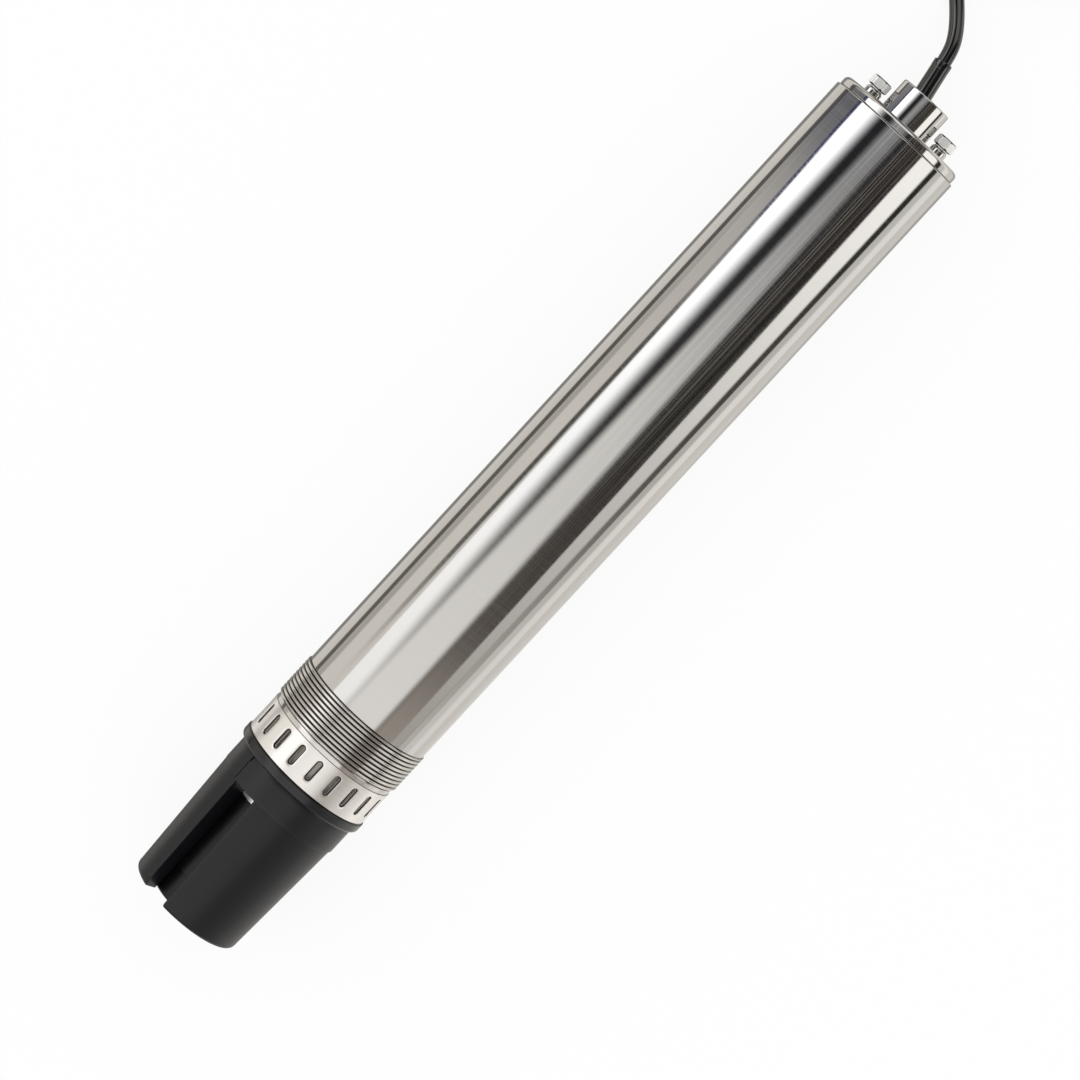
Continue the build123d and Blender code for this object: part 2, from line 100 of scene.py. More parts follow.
class Tree:
    """A node tree with short ways to add nodes, sums and links."""

    def __init__(self, tree):
        self.tree = tree

    def link(self, value, socket):
        """Links a socket, or writes a plain value, to an input socket."""
        if isinstance(value, bpy.types.NodeSocket):
            self.tree.links.new(value, socket)
        else:
            socket.default_value = value

    def node(self, kind, inputs=None, **settings):
        """Adds a node, sets its properties and then its inputs, by name or by number."""
        node = self.tree.nodes.new(kind)
        for name, value in settings.items():
            setattr(node, name, value)
        for label, value in (inputs or {}).items():
            self.link(value, node.inputs[label])
        return node

    def add(self, kind, inputs=None, **settings):
        """Adds a node and gives its first output."""
        return self.node(kind, inputs, **settings).outputs[0]

    def calc(self, operation, *values, clamp=False):
        """A Math node of sockets or numbers."""
        inputs = dict(enumerate(values))
        return self.add("ShaderNodeMath", inputs, operation=operation, use_clamp=clamp)

    def mix(self, factor, first, second, blend="MIX"):
        """Two colours mixed."""
        inputs = {0: factor, 6: first, 7: second}
        mixed = self.node("ShaderNodeMix", inputs, data_type="RGBA", blend_type=blend)
        return mixed.outputs[2]

    def split(self, vector):
        """The outputs X, Y and Z of a vector."""
        return self.node("ShaderNodeSeparateXYZ", {0: vector}).outputs

    def vector(self, **parts):
        """A vector put together from its X, Y and Z."""
        return self.add("ShaderNodeCombineXYZ", parts)

    def remap(self, value, low, high, **settings):
        """Carries the stretch from low to high over to 0 to 1."""
        inputs = {"Value": value, "From Min": low, "From Max": high}
        return self.add("ShaderNodeMapRange", inputs, **settings)

    def ease(self, value, low, high):
        """As remap, with soft ends."""
        return self.remap(value, low, high, interpolation_type="SMOOTHSTEP")

    def noise(self, vector, scale, detail, roughness=0.5, **settings):
        """Noise between 0 and 1 over a vector."""
        inputs = {"Vector": vector, "Scale": scale, "Detail": detail, "Roughness": roughness}
        return self.add("ShaderNodeTexNoise", inputs, **settings)


def new_tree(name, kind, inputs, outputs):
    """An empty shader group or Geometry Nodes tree with named inputs and outputs."""
    group = bpy.data.node_groups.new(name, kind)
    for label, socket_type in inputs.items():
        group.interface.new_socket(label, in_out="INPUT", socket_type=socket_type)
    for label, socket_type in outputs.items():
        group.interface.new_socket(label, in_out="OUTPUT", socket_type=socket_type)
    tree = Tree(group)
    return tree, tree.node("NodeGroupInput").outputs, tree.node("NodeGroupOutput").inputs


# Studio: what polished metal mirrors is a white room with long lamps and dark flags hung
# along the pump. A card is one of them: a strip between two angles round the shaft.

CARD_FADE = 0.25
WALL_COLOUR = (0.88, 0.85, 0.79, 1.0)
END_COLOUR = (0.20, 0.195, 0.19, 1.0)
STREAK_COLOUR = (1.45, 1.34, 1.22, 1.0)
EVEN_LIGHT = (1.0, 1.0, 1.0, 1.0)
NEAR_SIGHT, FAR_SIGHT = 0.02, -0.19
END_SIGHT, END_FULL = 0.80, 0.98
STREAK_WINDOWS = ((-20, -8), (62, 50))
STRANDS_ROUND, STRANDS_ALONG = 0.45, 1.5
STREAK_LEVEL, STREAK_FADE = 0.50, -1.1
ALWAYS = (-9, 9)

# name, left edge, right edge, softness, the colours near the outlet, halfway and near the foot,
# and for some a reach along the pump. An edge is degrees round the shaft from straight up, or
# those with a slant and a bend.
STUDIO_CARDS = [
    ("under flag", -200, -147, 8, (0.30, 0.29, 0.27), (0.30, 0.29, 0.27), (0.30, 0.29, 0.27)),
    ("under wall", 150, 200, 14, (0.45, 0.44, 0.42), (0.72, 0.70, 0.67), (0.86, 0.84, 0.81)),
    ("rail left", -119, -108, 3, (0.15, 0.14, 0.13), (0.16, 0.15, 0.13), (0.19, 0.175, 0.15)),
    ("grey wall left", -107, -95, 4, (0.58, 0.56, 0.53), (0.58, 0.55, 0.50), (0.60, 0.56, 0.50)),
    ("warm wall left", -95, (-71, 12, 1), 6, (0.52, 0.50, 0.48), (0.92, 0.87, 0.80), (0.95, 0.90, 0.83)),
    ("blue cloth", -112, -76, 7, (0.06, 0.07, 0.11), (0.05, 0.06, 0.11), (0.05, 0.06, 0.11), (-0.12, 0.02)),
    ("blue line", (-78, 15, 0.55), (-69.5, 15, 0.55), 3,
     (0.05, 0.06, 0.15), (0.14, 0.15, 0.21), (0.2, 0.2, 0.2), (-9, 0.20)),
    ("cord left", -72, -64, 4, (0.15, 0.14, 0.14), (0.11, 0.11, 0.10), (0.20, 0.19, 0.18), (0.26, 0.88)),
    ("long lamp left", (-71.5, 14.5, 0.55), (-20, 16, 2.5), 3,
     (2.10, 2.12, 2.16), (1.62, 1.63, 1.64), (1.40, 1.38, 1.35)),
    ("dark flag", (-41.6, 18, 3), (76, 10, 1), 27,
     (0.024, 0.025, 0.029), (0.050, 0.049, 0.048), (0.30, 0.28, 0.25)),
    ("ceiling", (-15, -10, 1.6), (9, 24, 1), 13,
     (0.34, 0.34, 0.35), (0.92, 0.90, 0.87), (1.12, 1.09, 1.05)),
    ("warm flag", (23, 12, 1), (55, 13, 1), 10,
     (0.022, 0.019, 0.017), (0.034, 0.031, 0.028), (0.16, 0.14, 0.125)),
    ("brown wall", (23, 12, 1), (66, 13, 1), 14,
     (0.47, 0.42, 0.37), (0.47, 0.42, 0.37), (0.47, 0.42, 0.37), (0.92, 9)),
    ("long lamp right", (54, 13, 1), 82, 3, (1.50, 1.47, 1.42), (0.89, 0.86, 0.82), (0.56, 0.53, 0.49)),
    ("rail right", 84, 94.5, 3, (0.035, 0.033, 0.030), (0.12, 0.11, 0.10), (0.72, 0.68, 0.63)),
    ("grey wall right", 95, 106, 4, (0.82, 0.79, 0.75), (0.68, 0.65, 0.60), (0.90, 0.87, 0.82)),
    ("white wall right", 107, 122, 6, (1.15, 1.13, 1.09), (1.12, 1.09, 1.04), (1.06, 1.03, 0.99)),
]


def make_card_group():
    """One card: a strip of light or shade between two edges, from its begin to its end."""
    numbers = ["Turn", "Along", "Softness", "Begin", "End"]
    numbers += [f"{side} {part}" for side in ("Left", "Right") for part in ("edge", "slant", "bend")]
    inputs = {"Room": COLOUR, "Near": COLOUR, "Middle": COLOUR, "Far": COLOUR}
    inputs.update((label, FLOAT) for label in numbers)
    tree, given, leave = new_tree("studio_card", "ShaderNodeTree", inputs, {"Room": COLOUR})
    calc = tree.calc
    along = given["Along"]

    def soft_step(value, width):
        return tree.ease(calc("ADD", calc("DIVIDE", value, width), 0.5), 0.0, 1.0)

    def edge_mask(side, sign):
        reach = calc("POWER", calc("ADD", along, 0.0, clamp=True), given[f"{side} bend"])
        line = calc("MULTIPLY_ADD", reach, given[f"{side} slant"], given[f"{side} edge"])
        gap = calc("SUBTRACT", given["Turn"], line)
        return soft_step(calc("MULTIPLY", gap, sign), given["Softness"])

    inside = calc("MULTIPLY", edge_mask("Left", 1.0), edge_mask("Right", -1.0))
    since = soft_step(calc("SUBTRACT", along, given["Begin"]), CARD_FADE)
    until = soft_step(calc("SUBTRACT", given["End"], along), CARD_FADE)
    mask = calc("MULTIPLY", inside, calc("MULTIPLY", since, until), clamp=True)
    double = calc("MULTIPLY", along, 2.0)
    shade = tree.mix(calc("ADD", double, 0.0, clamp=True), given["Near"], given["Middle"])
    shade = tree.mix(calc("SUBTRACT", double, 1.0, clamp=True), shade, given["Far"])
    tree.link(tree.mix(mask, given["Room"], shade), leave["Room"])
    return tree.tree


def make_studio_world():
    """The world: even light for the floor and the pump, and the room where metal mirrors it."""
    world = bpy.data.worlds.new("studio")
    scene.world = world
    world.use_nodes = True
    world.node_tree.nodes.clear()
    tree = Tree(world.node_tree)
    calc = tree.calc
    look = tree.split(tree.node("ShaderNodeTexCoord").outputs["Generated"])
    radians = calc("ARCTAN2", calc("MULTIPLY", look["Y"], -1.0), look["Z"])
    turn = calc("MULTIPLY", radians, 180.0 / math.pi)
    lengthwise = tree.remap(look["X"], NEAR_SIGHT, FAR_SIGHT, clamp=False)
    along = calc("MAXIMUM", lengthwise, calc("MULTIPLY_ADD", lengthwise, -0.5, -0.5))

    strands = tree.vector(
        X=calc("MULTIPLY", turn, STRANDS_ROUND), Y=calc("MULTIPLY", along, STRANDS_ALONG)
    )
    threads = tree.noise(strands, scale=1.0, detail=3.0, noise_dimensions="2D")
    bare = calc("SUBTRACT", threads, STREAK_LEVEL, clamp=True)
    near_share = calc("MULTIPLY_ADD", along, STREAK_FADE, 1.0, clamp=True)
    streaks = calc("MULTIPLY", bare, near_share)
    for first, last in STREAK_WINDOWS:
        streaks = calc("MULTIPLY", streaks, tree.ease(turn, first, last))

    colour = WALL_COLOUR
    group = make_card_group()
    for name, left, right, softness, near, middle, far, *reach in STUDIO_CARDS:
        values = {"Room": colour, "Turn": turn, "Along": along, "Softness": softness}
        for side, edge in (("Left", left), ("Right", right)):
            edge = edge if isinstance(edge, tuple) else (edge, 0, 1)
            for label, value in zip(("edge", "slant", "bend"), edge):
                values[f"{side} {label}"] = value
        values["Begin"], values["End"] = reach[0] if reach else ALWAYS
        for label, shade in (("Near", near), ("Middle", middle), ("Far", far)):
            values[label] = (*shade, 1.0)
        colour = tree.add("ShaderNodeGroup", values, node_tree=group, label=name)
    colour = tree.mix(streaks, colour, STREAK_COLOUR, "ADD")
    at_ends = tree.ease(calc("ABSOLUTE", look["X"]), END_SIGHT, END_FULL)
    colour = tree.mix(at_ends, colour, END_COLOUR)

    mirrored = tree.add("ShaderNodeBackground", {"Color": colour})
    even = tree.add("ShaderNodeBackground", {"Color": EVEN_LIGHT})
    glossy = tree.node("ShaderNodeLightPath").outputs["Is Glossy Ray"]
    chosen = tree.add("ShaderNodeMixShader", {0: glossy, 1: even, 2: mirrored})
    tree.node("ShaderNodeOutputWorld", {"Surface": chosen})


make_studio_world()


# Surface groups


def with_contrast(tree, noise, contrast):
    """Spreads noise about its middle and keeps it between 0 and 1."""
    spread = tree.calc("MULTIPLY", tree.calc("SUBTRACT", noise, 0.5), contrast)
    return tree.calc("ADD", spread, 0.5, clamp=True)


def make_turning_marks_group():
    """Fine marks that a lathe or a belt leaves round a turned piece."""
    inputs = {"Vector": VECTOR, "Marks per metre": FLOAT, "Round length": FLOAT, "Contrast": FLOAT}
    outputs = {"Mark": FLOAT, "Shade": FLOAT}
    tree, given, leave = new_tree("turning_marks", "ShaderNodeTree", inputs, outputs)
    split = tree.split(given["Vector"])
    rates = {"X": "Marks per metre", "Y": "Round length", "Z": "Round length"}
    parts = {axis: tree.calc("MULTIPLY", split[axis], given[rate]) for axis, rate in rates.items()}
    fine = tree.noise(tree.vector(**parts), scale=1.0, detail=4.0, roughness=0.6)
    tree.link(with_contrast(tree, fine, given["Contrast"]), leave["Mark"])
    tree.link(tree.noise(given["Vector"], scale=9.0, detail=2.0), leave["Shade"])
    return tree.tree


def make_grain_group():
    """Fine grain with soft patches, for moulded, cast and pressed surfaces."""
    inputs = {
        "Vector": VECTOR, "Grains per metre": FLOAT, "Patches per metre": FLOAT, "Contrast": FLOAT,
    }
    outputs = {"Grain": FLOAT, "Patch": FLOAT}
    tree, given, leave = new_tree("surface_grain", "ShaderNodeTree", inputs, outputs)
    for rate, output, detail in (
        ("Grains per metre", "Grain", 3.0),
        ("Patches per metre", "Patch", 2.0),
    ):
        noise = tree.noise(given["Vector"], given[rate], detail)
        tree.link(with_contrast(tree, noise, given["Contrast"]), leave[output])
    return tree.tree


TURNING_MARKS = make_turning_marks_group()
SURFACE_GRAIN = make_grain_group()
WEAR_RANGE = (0.3, 0.7)
FINISHES = {}


def add_finish(name, dark, light, roughness, metallic, bump, reflection, group, worn, values):
    """A material whose colour and roughness vary with a surface group.

    dark and light are its two colours, roughness is a pair, bump is a height in microns, and
    worn names the group's output that its roughness follows.
    """
    material = bpy.data.materials.new(name)
    material.use_nodes = True
    tree = Tree(material.node_tree)
    shader = material.node_tree.nodes["Principled BSDF"].inputs
    shader["Metallic"].default_value = metallic
    shader["Specular IOR Level"].default_value = reflection
    values["Vector"] = tree.node("ShaderNodeTexCoord").outputs["Object"]
    detail = tree.node("ShaderNodeGroup", values, node_tree=group).outputs
    fine, broad = detail
    tone = tree.calc("MULTIPLY", tree.calc("ADD", fine, broad), 0.5, clamp=True)
    tree.link(tree.mix(tone, (*dark, 1.0), (*light, 1.0)), shader["Base Color"])
    wear = {"Value": detail[worn], "To Min": roughness[0], "To Max": roughness[1]}
    wear["From Min"], wear["From Max"] = WEAR_RANGE
    tree.link(tree.add("ShaderNodeMapRange", wear), shader["Roughness"])
    if bump:
        relief = {"Strength": 1.0, "Distance": bump * MICRON, "Height": fine}
        tree.link(tree.add("ShaderNodeBump", relief), shader["Normal"])
    FINISHES[name] = material


def add_turned_finish(name, dark, light, roughness, metallic, marks, length, contrast=1, bump=0):
    """A finish with turning marks, so many in a metre and so long round the piece."""
    values = {"Marks per metre": marks, "Round length": length, "Contrast": contrast}
    add_finish(
        name, dark, light, roughness, metallic, bump, 0.5, TURNING_MARKS, "Mark", values
    )


def add_grained_finish(
    name, dark, light, roughness, metallic, bump, grains, patches=25, reflection=0.5, contrast=1
):
    """A finish with so many grains and patches in a metre."""
    values = {"Grains per metre": grains, "Patches per metre": patches, "Contrast": contrast}
    add_finish(
        name, dark, light, roughness, metallic, bump, reflection, SURFACE_GRAIN, "Patch", values
    )


for row in (
    ("tube_steel", (0.55, 0.545, 0.535), (0.61, 0.605, 0.595), (0.05, 0.09), 1.0, 900, 4, 1.3),
    ("cap_steel", (0.57, 0.56, 0.545), (0.62, 0.61, 0.595), (0.05, 0.09), 1.0, 4000, 80),
    ("thread_steel", (0.60, 0.585, 0.565), (0.68, 0.665, 0.645), (0.07, 0.12), 1.0, 6000, 120),
    # Painted shade: a darker copy of the thread steel for the deep faces between the ridges.
    ("thread_groove", (0.24, 0.225, 0.205), (0.31, 0.29, 0.27), (0.22, 0.28), 1.0, 6000, 120),
    ("strainer_steel", (0.84, 0.825, 0.80), (0.88, 0.865, 0.84), (0.27, 0.33), 0.9, 1200, 12),
    # Painted shade: near-black for the walls inside the strainer's slots, from the rounded rim down to the
    # ledge.
    ("slot_edge", (0.022, 0.020, 0.018), (0.036, 0.032, 0.029), (0.35, 0.45), 0.5, 1200, 12),
    ("cup_dark", (0.66, 0.61, 0.56), (0.72, 0.67, 0.62), (0.45, 0.55), 0.5, 1500, 12),
    ("sensor_steel", (0.86, 0.85, 0.83), (0.92, 0.91, 0.89), (0.30, 0.38), 0.6, 5000, 60),
    ("stage_steel", (0.50, 0.49, 0.47), (0.58, 0.57, 0.55), (0.24, 0.34), 1.0, 3000, 60),
    ("motor_steel", (0.48, 0.47, 0.46), (0.55, 0.54, 0.53), (0.22, 0.30), 1.0, 2500, 40),
    ("lamination_steel", (0.22, 0.22, 0.23), (0.38, 0.38, 0.39), (0.35, 0.50), 1.0, 2000, 2, 3.0),
    ("winding_copper", (0.62, 0.26, 0.12), (0.80, 0.40, 0.22), (0.24, 0.36), 1.0, 900, 30, 2.5, 80),
    ("shaft_steel", (0.55, 0.545, 0.54), (0.61, 0.605, 0.60), (0.12, 0.20), 1.0, 4000, 100),
    ("valve_brass", (0.66, 0.46, 0.20), (0.76, 0.56, 0.28), (0.20, 0.30), 1.0, 3500, 80),
    ("spring_steel", (0.50, 0.49, 0.48), (0.60, 0.59, 0.58), (0.16, 0.26), 1.0, 3000, 90),
    ("bare_copper", (0.70, 0.32, 0.16), (0.86, 0.45, 0.26), (0.22, 0.34), 1.0, 3000, 900),
):
    add_turned_finish(*row)

FOOT_COLOURS = ((0.0064, 0.0070, 0.0090), (0.0078, 0.0086, 0.0112))
JACKET_COLOURS = ((0.0008, 0.0008, 0.0011), (0.0012, 0.0012, 0.0017))

for row in (
    ("bolt_steel", (0.94, 0.925, 0.90), (0.97, 0.955, 0.93), (0.10, 0.16), 0.3, 0, 2500),
    # Painted shade: this dark steel goes on the bolt heads' chamfers and in the seam between tube and cap.
    ("bolt_edge", (0.06, 0.056, 0.052), (0.09, 0.085, 0.08), (0.14, 0.20), 1.0, 0, 2500),
    ("foot_black", *FOOT_COLOURS, (0.34, 0.40), 0.0, 6, 2600, 14, 0.34),
    ("flange_gloss", *FOOT_COLOURS, (0.20, 0.25), 0.0, 4, 2600, 14),
    # Painted shade: near-black for the thin ring between the flange and the strainer.
    ("flange_line", (0.0006, 0.0006, 0.0008), (0.0009, 0.0009, 0.0012), (0.12, 0.18), 0.0, 0,
     2600, 25, 0.2),
    ("collar_black", (0.0066, 0.0072, 0.0094), (0.0082, 0.0090, 0.0118), (0.33, 0.38), 0.0, 6,
     2600, 14, 0.38),
    ("sleeve_black", (0.0015, 0.0015, 0.0017), (0.0022, 0.0022, 0.0025), (0.30, 0.38), 0.0, 4,
     3000, 20, 0.3),
    ("stage_resin", (0.60, 0.58, 0.52), (0.68, 0.66, 0.60), (0.42, 0.52), 0.0, 10, 1800, 20),
    ("bracket_iron", (0.12, 0.12, 0.125), (0.19, 0.19, 0.195), (0.55, 0.70), 0.6, 60, 900, 30,
     0.5, 1.4),
    ("bush_bronze", (0.55, 0.33, 0.15), (0.66, 0.43, 0.21), (0.26, 0.38), 1.0, 10, 3500, 60),
    ("thrust_carbon", (0.018, 0.018, 0.019), (0.032, 0.032, 0.033), (0.32, 0.44), 0.0, 10, 4000, 60),
    ("seal_ceramic", (0.74, 0.73, 0.69), (0.82, 0.81, 0.77), (0.14, 0.22), 0.0, 0, 4000, 50),
    ("seal_rubber", (0.015, 0.015, 0.015), (0.024, 0.024, 0.024), (0.55, 0.66), 0.0, 20, 2500, 40),
    ("plate_aluminium", (0.66, 0.66, 0.67), (0.74, 0.74, 0.75), (0.30, 0.42), 1.0, 10, 2000, 40),
    ("guide_resin", (0.05, 0.05, 0.052), (0.07, 0.07, 0.073), (0.42, 0.52), 0.0, 10, 1800, 40),
    ("plug_black", (0.012, 0.012, 0.013), (0.02, 0.02, 0.021), (0.30, 0.42), 0.0, 6, 3500, 60),
    ("gland_steel", (0.55, 0.54, 0.52), (0.61, 0.60, 0.58), (0.12, 0.20), 1.0, 0, 2500, 60),
    ("boot_rubber", *JACKET_COLOURS, (0.05, 0.08), 0.0, 0, 3000, 60, 1.0),
    ("cord_rubber", *JACKET_COLOURS, (0.05, 0.08), 0.0, 0, 3000, 40, 1.0),
    ("core_insulation", (0.10, 0.045, 0.018), (0.16, 0.075, 0.03), (0.34, 0.44), 0.0, 5, 3000, 80),
):
    add_grained_finish(*row)


FLOOR_HALF = 6.0
PAPER_COLOUR = (0.97, 0.97, 0.97, 1.0)
PLAIN_SHARE = 0.88


def make_floor():
    """A pale sheet of paper. The camera sees part of it as plain white, so its shadow is soft."""
    mesh = bpy.data.meshes.new("floor")
    signs = ((-1, -1), (1, -1), (1, 1), (-1, 1))
    corners = [(across * FLOOR_HALF, deep * FLOOR_HALF, 0) for across, deep in signs]
    mesh.from_pydata(corners, [], [(0, 1, 2, 3)])
    floor = bpy.data.objects.new("floor", mesh)
    scene.collection.objects.link(floor)
    paper = bpy.data.materials.new("white_paper")
    paper.use_nodes = True
    tree = Tree(paper.node_tree)
    shader = paper.node_tree.nodes["Principled BSDF"]
    shader.inputs["Base Color"].default_value = PAPER_COLOUR
    shader.inputs["Roughness"].default_value = 1.0
    shader.inputs["Specular IOR Level"].default_value = 0.0
    glow = tree.add("ShaderNodeEmission")
    seen = tree.node("ShaderNodeLightPath").outputs["Is Camera Ray"]
    share = tree.calc("MULTIPLY", seen, PLAIN_SHARE)
    blend = tree.add("ShaderNodeMixShader", {0: share, 1: shader.outputs[0], 2: glow})
    tree.link(blend, paper.node_tree.nodes["Material Output"].inputs["Surface"])
    mesh.materials.append(paper)
    floor.visible_glossy = False


make_floor()


# Mesh helpers

SMOOTH_LIMIT = math.radians(32)
SUPPORT = 0.3
ON_THE_LINE = 1e-6
WELD_REACH = 1e-7


def object_from(maker, name, finish):
    """Turns a bmesh into a finished object with smooth faces and sharp edges."""
    bmesh.ops.remove_doubles(maker, verts=maker.verts, dist=WELD_REACH)
    bmesh.ops.recalc_face_normals(maker, faces=maker.faces)
    mesh = bpy.data.meshes.new(name)
    maker.to_mesh(mesh)
    maker.free()
    mesh.materials.append(FINISHES[finish])
    mesh.shade_smooth()
    mesh.set_sharp_from_angle(angle=SMOOTH_LIMIT)
    made = bpy.data.objects.new(name, mesh)
    scene.collection.objects.link(made)
    return made


def settle(made, body, slot, *replaced):
    """Rides a piece on its body and hides the nodes that it stands for; its slot is not used."""
    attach(made, body)
    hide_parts(*replaced)


def rounded_outline(points, steps):
    """Rounds the corners of a closed outline. Each point is (distance, radius, rounding).

    A support point on each side of a rounding keeps the long faces next to it plain.
    """
    outline = []
    for index, (distance, radius, rounding) in enumerate(points):
        corner = Vector((distance, radius))
        if not rounding:
            outline.append(corner)
            continue
        before = Vector(points[index - 1][:2])
        after = Vector(points[(index + 1) % len(points)][:2])
        to_before = (before - corner).normalized()
        to_after = (after - corner).normalized()
        half = to_before.angle(to_after) / 2
        reach = rounding / math.tan(half)
        centre = corner + (to_before + to_after).normalized() * rounding / math.sin(half)
        first = corner + to_before * reach - centre
        last = corner + to_after * reach - centre
        sweep = first.angle_signed(last)
        if (before - corner).length - reach > 5 * SUPPORT:
            outline.append(corner + to_before * (reach + SUPPORT))
        for step in range(steps + 1):
            outline.append(centre + (Matrix.Rotation(-sweep * step / steps, 2) @ first))
        if (after - corner).length - reach > 5 * SUPPORT:
            outline.append(corner + to_after * (reach + SUPPORT))
    return outline


def turned_spot(distance, radius, turn, side=0.0, up=0.0):
    """The point at a radius and an angle about a line along the shaft, side and up from it."""
    return place(distance, side - radius * math.sin(turn), up + radius * math.cos(turn))


def add_ring(maker, count, spot):
    """Adds a closed ring of points. spot gives the place of each from its angle."""
    return [maker.verts.new(spot(2 * math.pi * index / count)) for index in range(count)]


def bridge(maker, first, second):
    """Joins two rings with faces. A ring of one point is a tip."""
    count = max(len(first), len(second))
    for index in range(count):
        ahead = (index + 1) % count
        corners = [first[index % len(first)], first[ahead % len(first)]]
        corners += [second[ahead % len(second)], second[index % len(second)]]
        maker.faces.new(list(dict.fromkeys(corners)))


def join_rings(maker, rings):
    """Joins rings into a skin and closes its two ends."""
    for lower, upper in zip(rings, rings[1:]):
        bridge(maker, lower, upper)
    maker.faces.new(rings[0])
    maker.faces.new(rings[-1])


def add_turned(maker, points, segments=192, side=0.0, up=0.0, steps=6):
    """Adds a closed outline turned about a line along the shaft, side and up from it."""
    rings = []
    for distance, radius in rounded_outline(points, steps):
        count = 1 if radius < ON_THE_LINE else segments
        rings.append(
            add_ring(maker, count, lambda turn: turned_spot(distance, radius, turn, side, up))
        )
    for ring, following in zip(rings, rings[1:] + rings[:1]):
        if len(ring) > 1 or len(following) > 1:
            bridge(maker, ring, following)


def paint_faces(made, finish, chosen):
    """Gives another finish to the faces that chosen picks by their middle and normal."""
    made.data.materials.append(FINISHES[finish])
    for face in made.data.polygons:
        if chosen(face.center, face.normal):
            face.material_index = len(made.data.materials) - 1


def from_foot_end(spot):
    """How far a point is from the foot's end, in millimetres."""
    return spot.x / MM - FOOT_END


def off_shaft(spot):
    """How far a point is from the shaft's line, in millimetres."""
    return math.hypot(spot.y / MM, spot.z / MM - SHAFT_HEIGHT)


def turned_object(name, finish, points, **options):
    """An object of one turned outline, still without a body."""
    maker = bmesh.new()
    add_turned(maker, points, **options)
    return object_from(maker, name, finish)


def turned_piece(name, finish, node, points, **options):
    """A turned piece of the pump's casing that stands for a node."""
    made = turned_object(name, finish, points, **options)
    settle(made, "pump", finish, node)
    return made


def join_pieces(first, *others):
    """Joins meshes that already stand in their places into the first one."""
    whole = bmesh.new()
    for piece in (first, *others):
        whole.from_mesh(piece.data)
    bmesh.ops.remove_doubles(whole, verts=whole.verts, dist=WELD_REACH)
    whole.to_mesh(first.data)
    whole.free()
    first.data.set_sharp_from_angle(angle=SMOOTH_LIMIT)
    for piece in others:
        bpy.data.objects.remove(piece, do_unlink=True)


# Geometry Nodes: each tree ends in Realize Instances, for most a merge of shared edges, and Set Material

MERGE_REACH = 2e-6
RUNOUT_SHARE = 0.3


def new_geometry_tree(name, **sizes):
    """A Geometry Nodes tree with a mesh in and out and named inputs."""
    inputs = {"Geometry": GEOMETRY}
    inputs.update((label.replace("_", " "), kind) for label, kind in sizes.items())
    inputs["Finish"] = MATERIAL
    return new_tree(name, "GeometryNodeTree", inputs, {"Geometry": GEOMETRY})


def finish_tree(tree, given, leave, geometry, merge=0.0):
    """Closes a tree and gives it back."""
    last = tree.add("GeometryNodeRealizeInstances", {"Geometry": geometry})
    if merge:
        last = tree.add("GeometryNodeMergeByDistance", {"Geometry": last, "Distance": merge})
    finish = {"Geometry": last, "Material": given["Finish"]}
    tree.link(tree.add("GeometryNodeSetMaterial", finish), leave["Geometry"])
    return tree.tree


def bake_tree(made, tree, finish, **sizes):
    """Runs a tree on an object with its input values and keeps the result as a plain mesh."""
    values = {label.replace("_", " "): value for label, value in sizes.items()}
    values["Finish"] = FINISHES[finish]
    modifier = made.modifiers.new(tree.name, "NODES")
    modifier.node_group = tree
    for item in tree.interface.items_tree:
        if item.item_type == "SOCKET" and item.in_out == "INPUT" and item.name in values:
            modifier[item.identifier] = values[item.name]
    graph = bpy.context.evaluated_depsgraph_get()
    graph.update()
    baked = bpy.data.meshes.new_from_object(made.evaluated_get(graph))
    baked.name = made.name
    baked.materials.clear()
    baked.materials.append(FINISHES[finish])
    for face in baked.polygons:
        face.material_index = 0
    made.modifiers.clear()
    made.data = baked
    tidy = bmesh.new()
    tidy.from_mesh(baked)
    bmesh.ops.remove_doubles(tidy, verts=tidy.verts, dist=MERGE_REACH)
    bmesh.ops.dissolve_degenerate(tidy, edges=tidy.edges, dist=MERGE_REACH / 2)
    bmesh.ops.recalc_face_normals(tidy, faces=tidy.faces)
    tidy.to_mesh(baked)
    tidy.free()
    baked.shade_smooth()
    baked.set_sharp_from_angle(angle=SMOOTH_LIMIT)
    return made


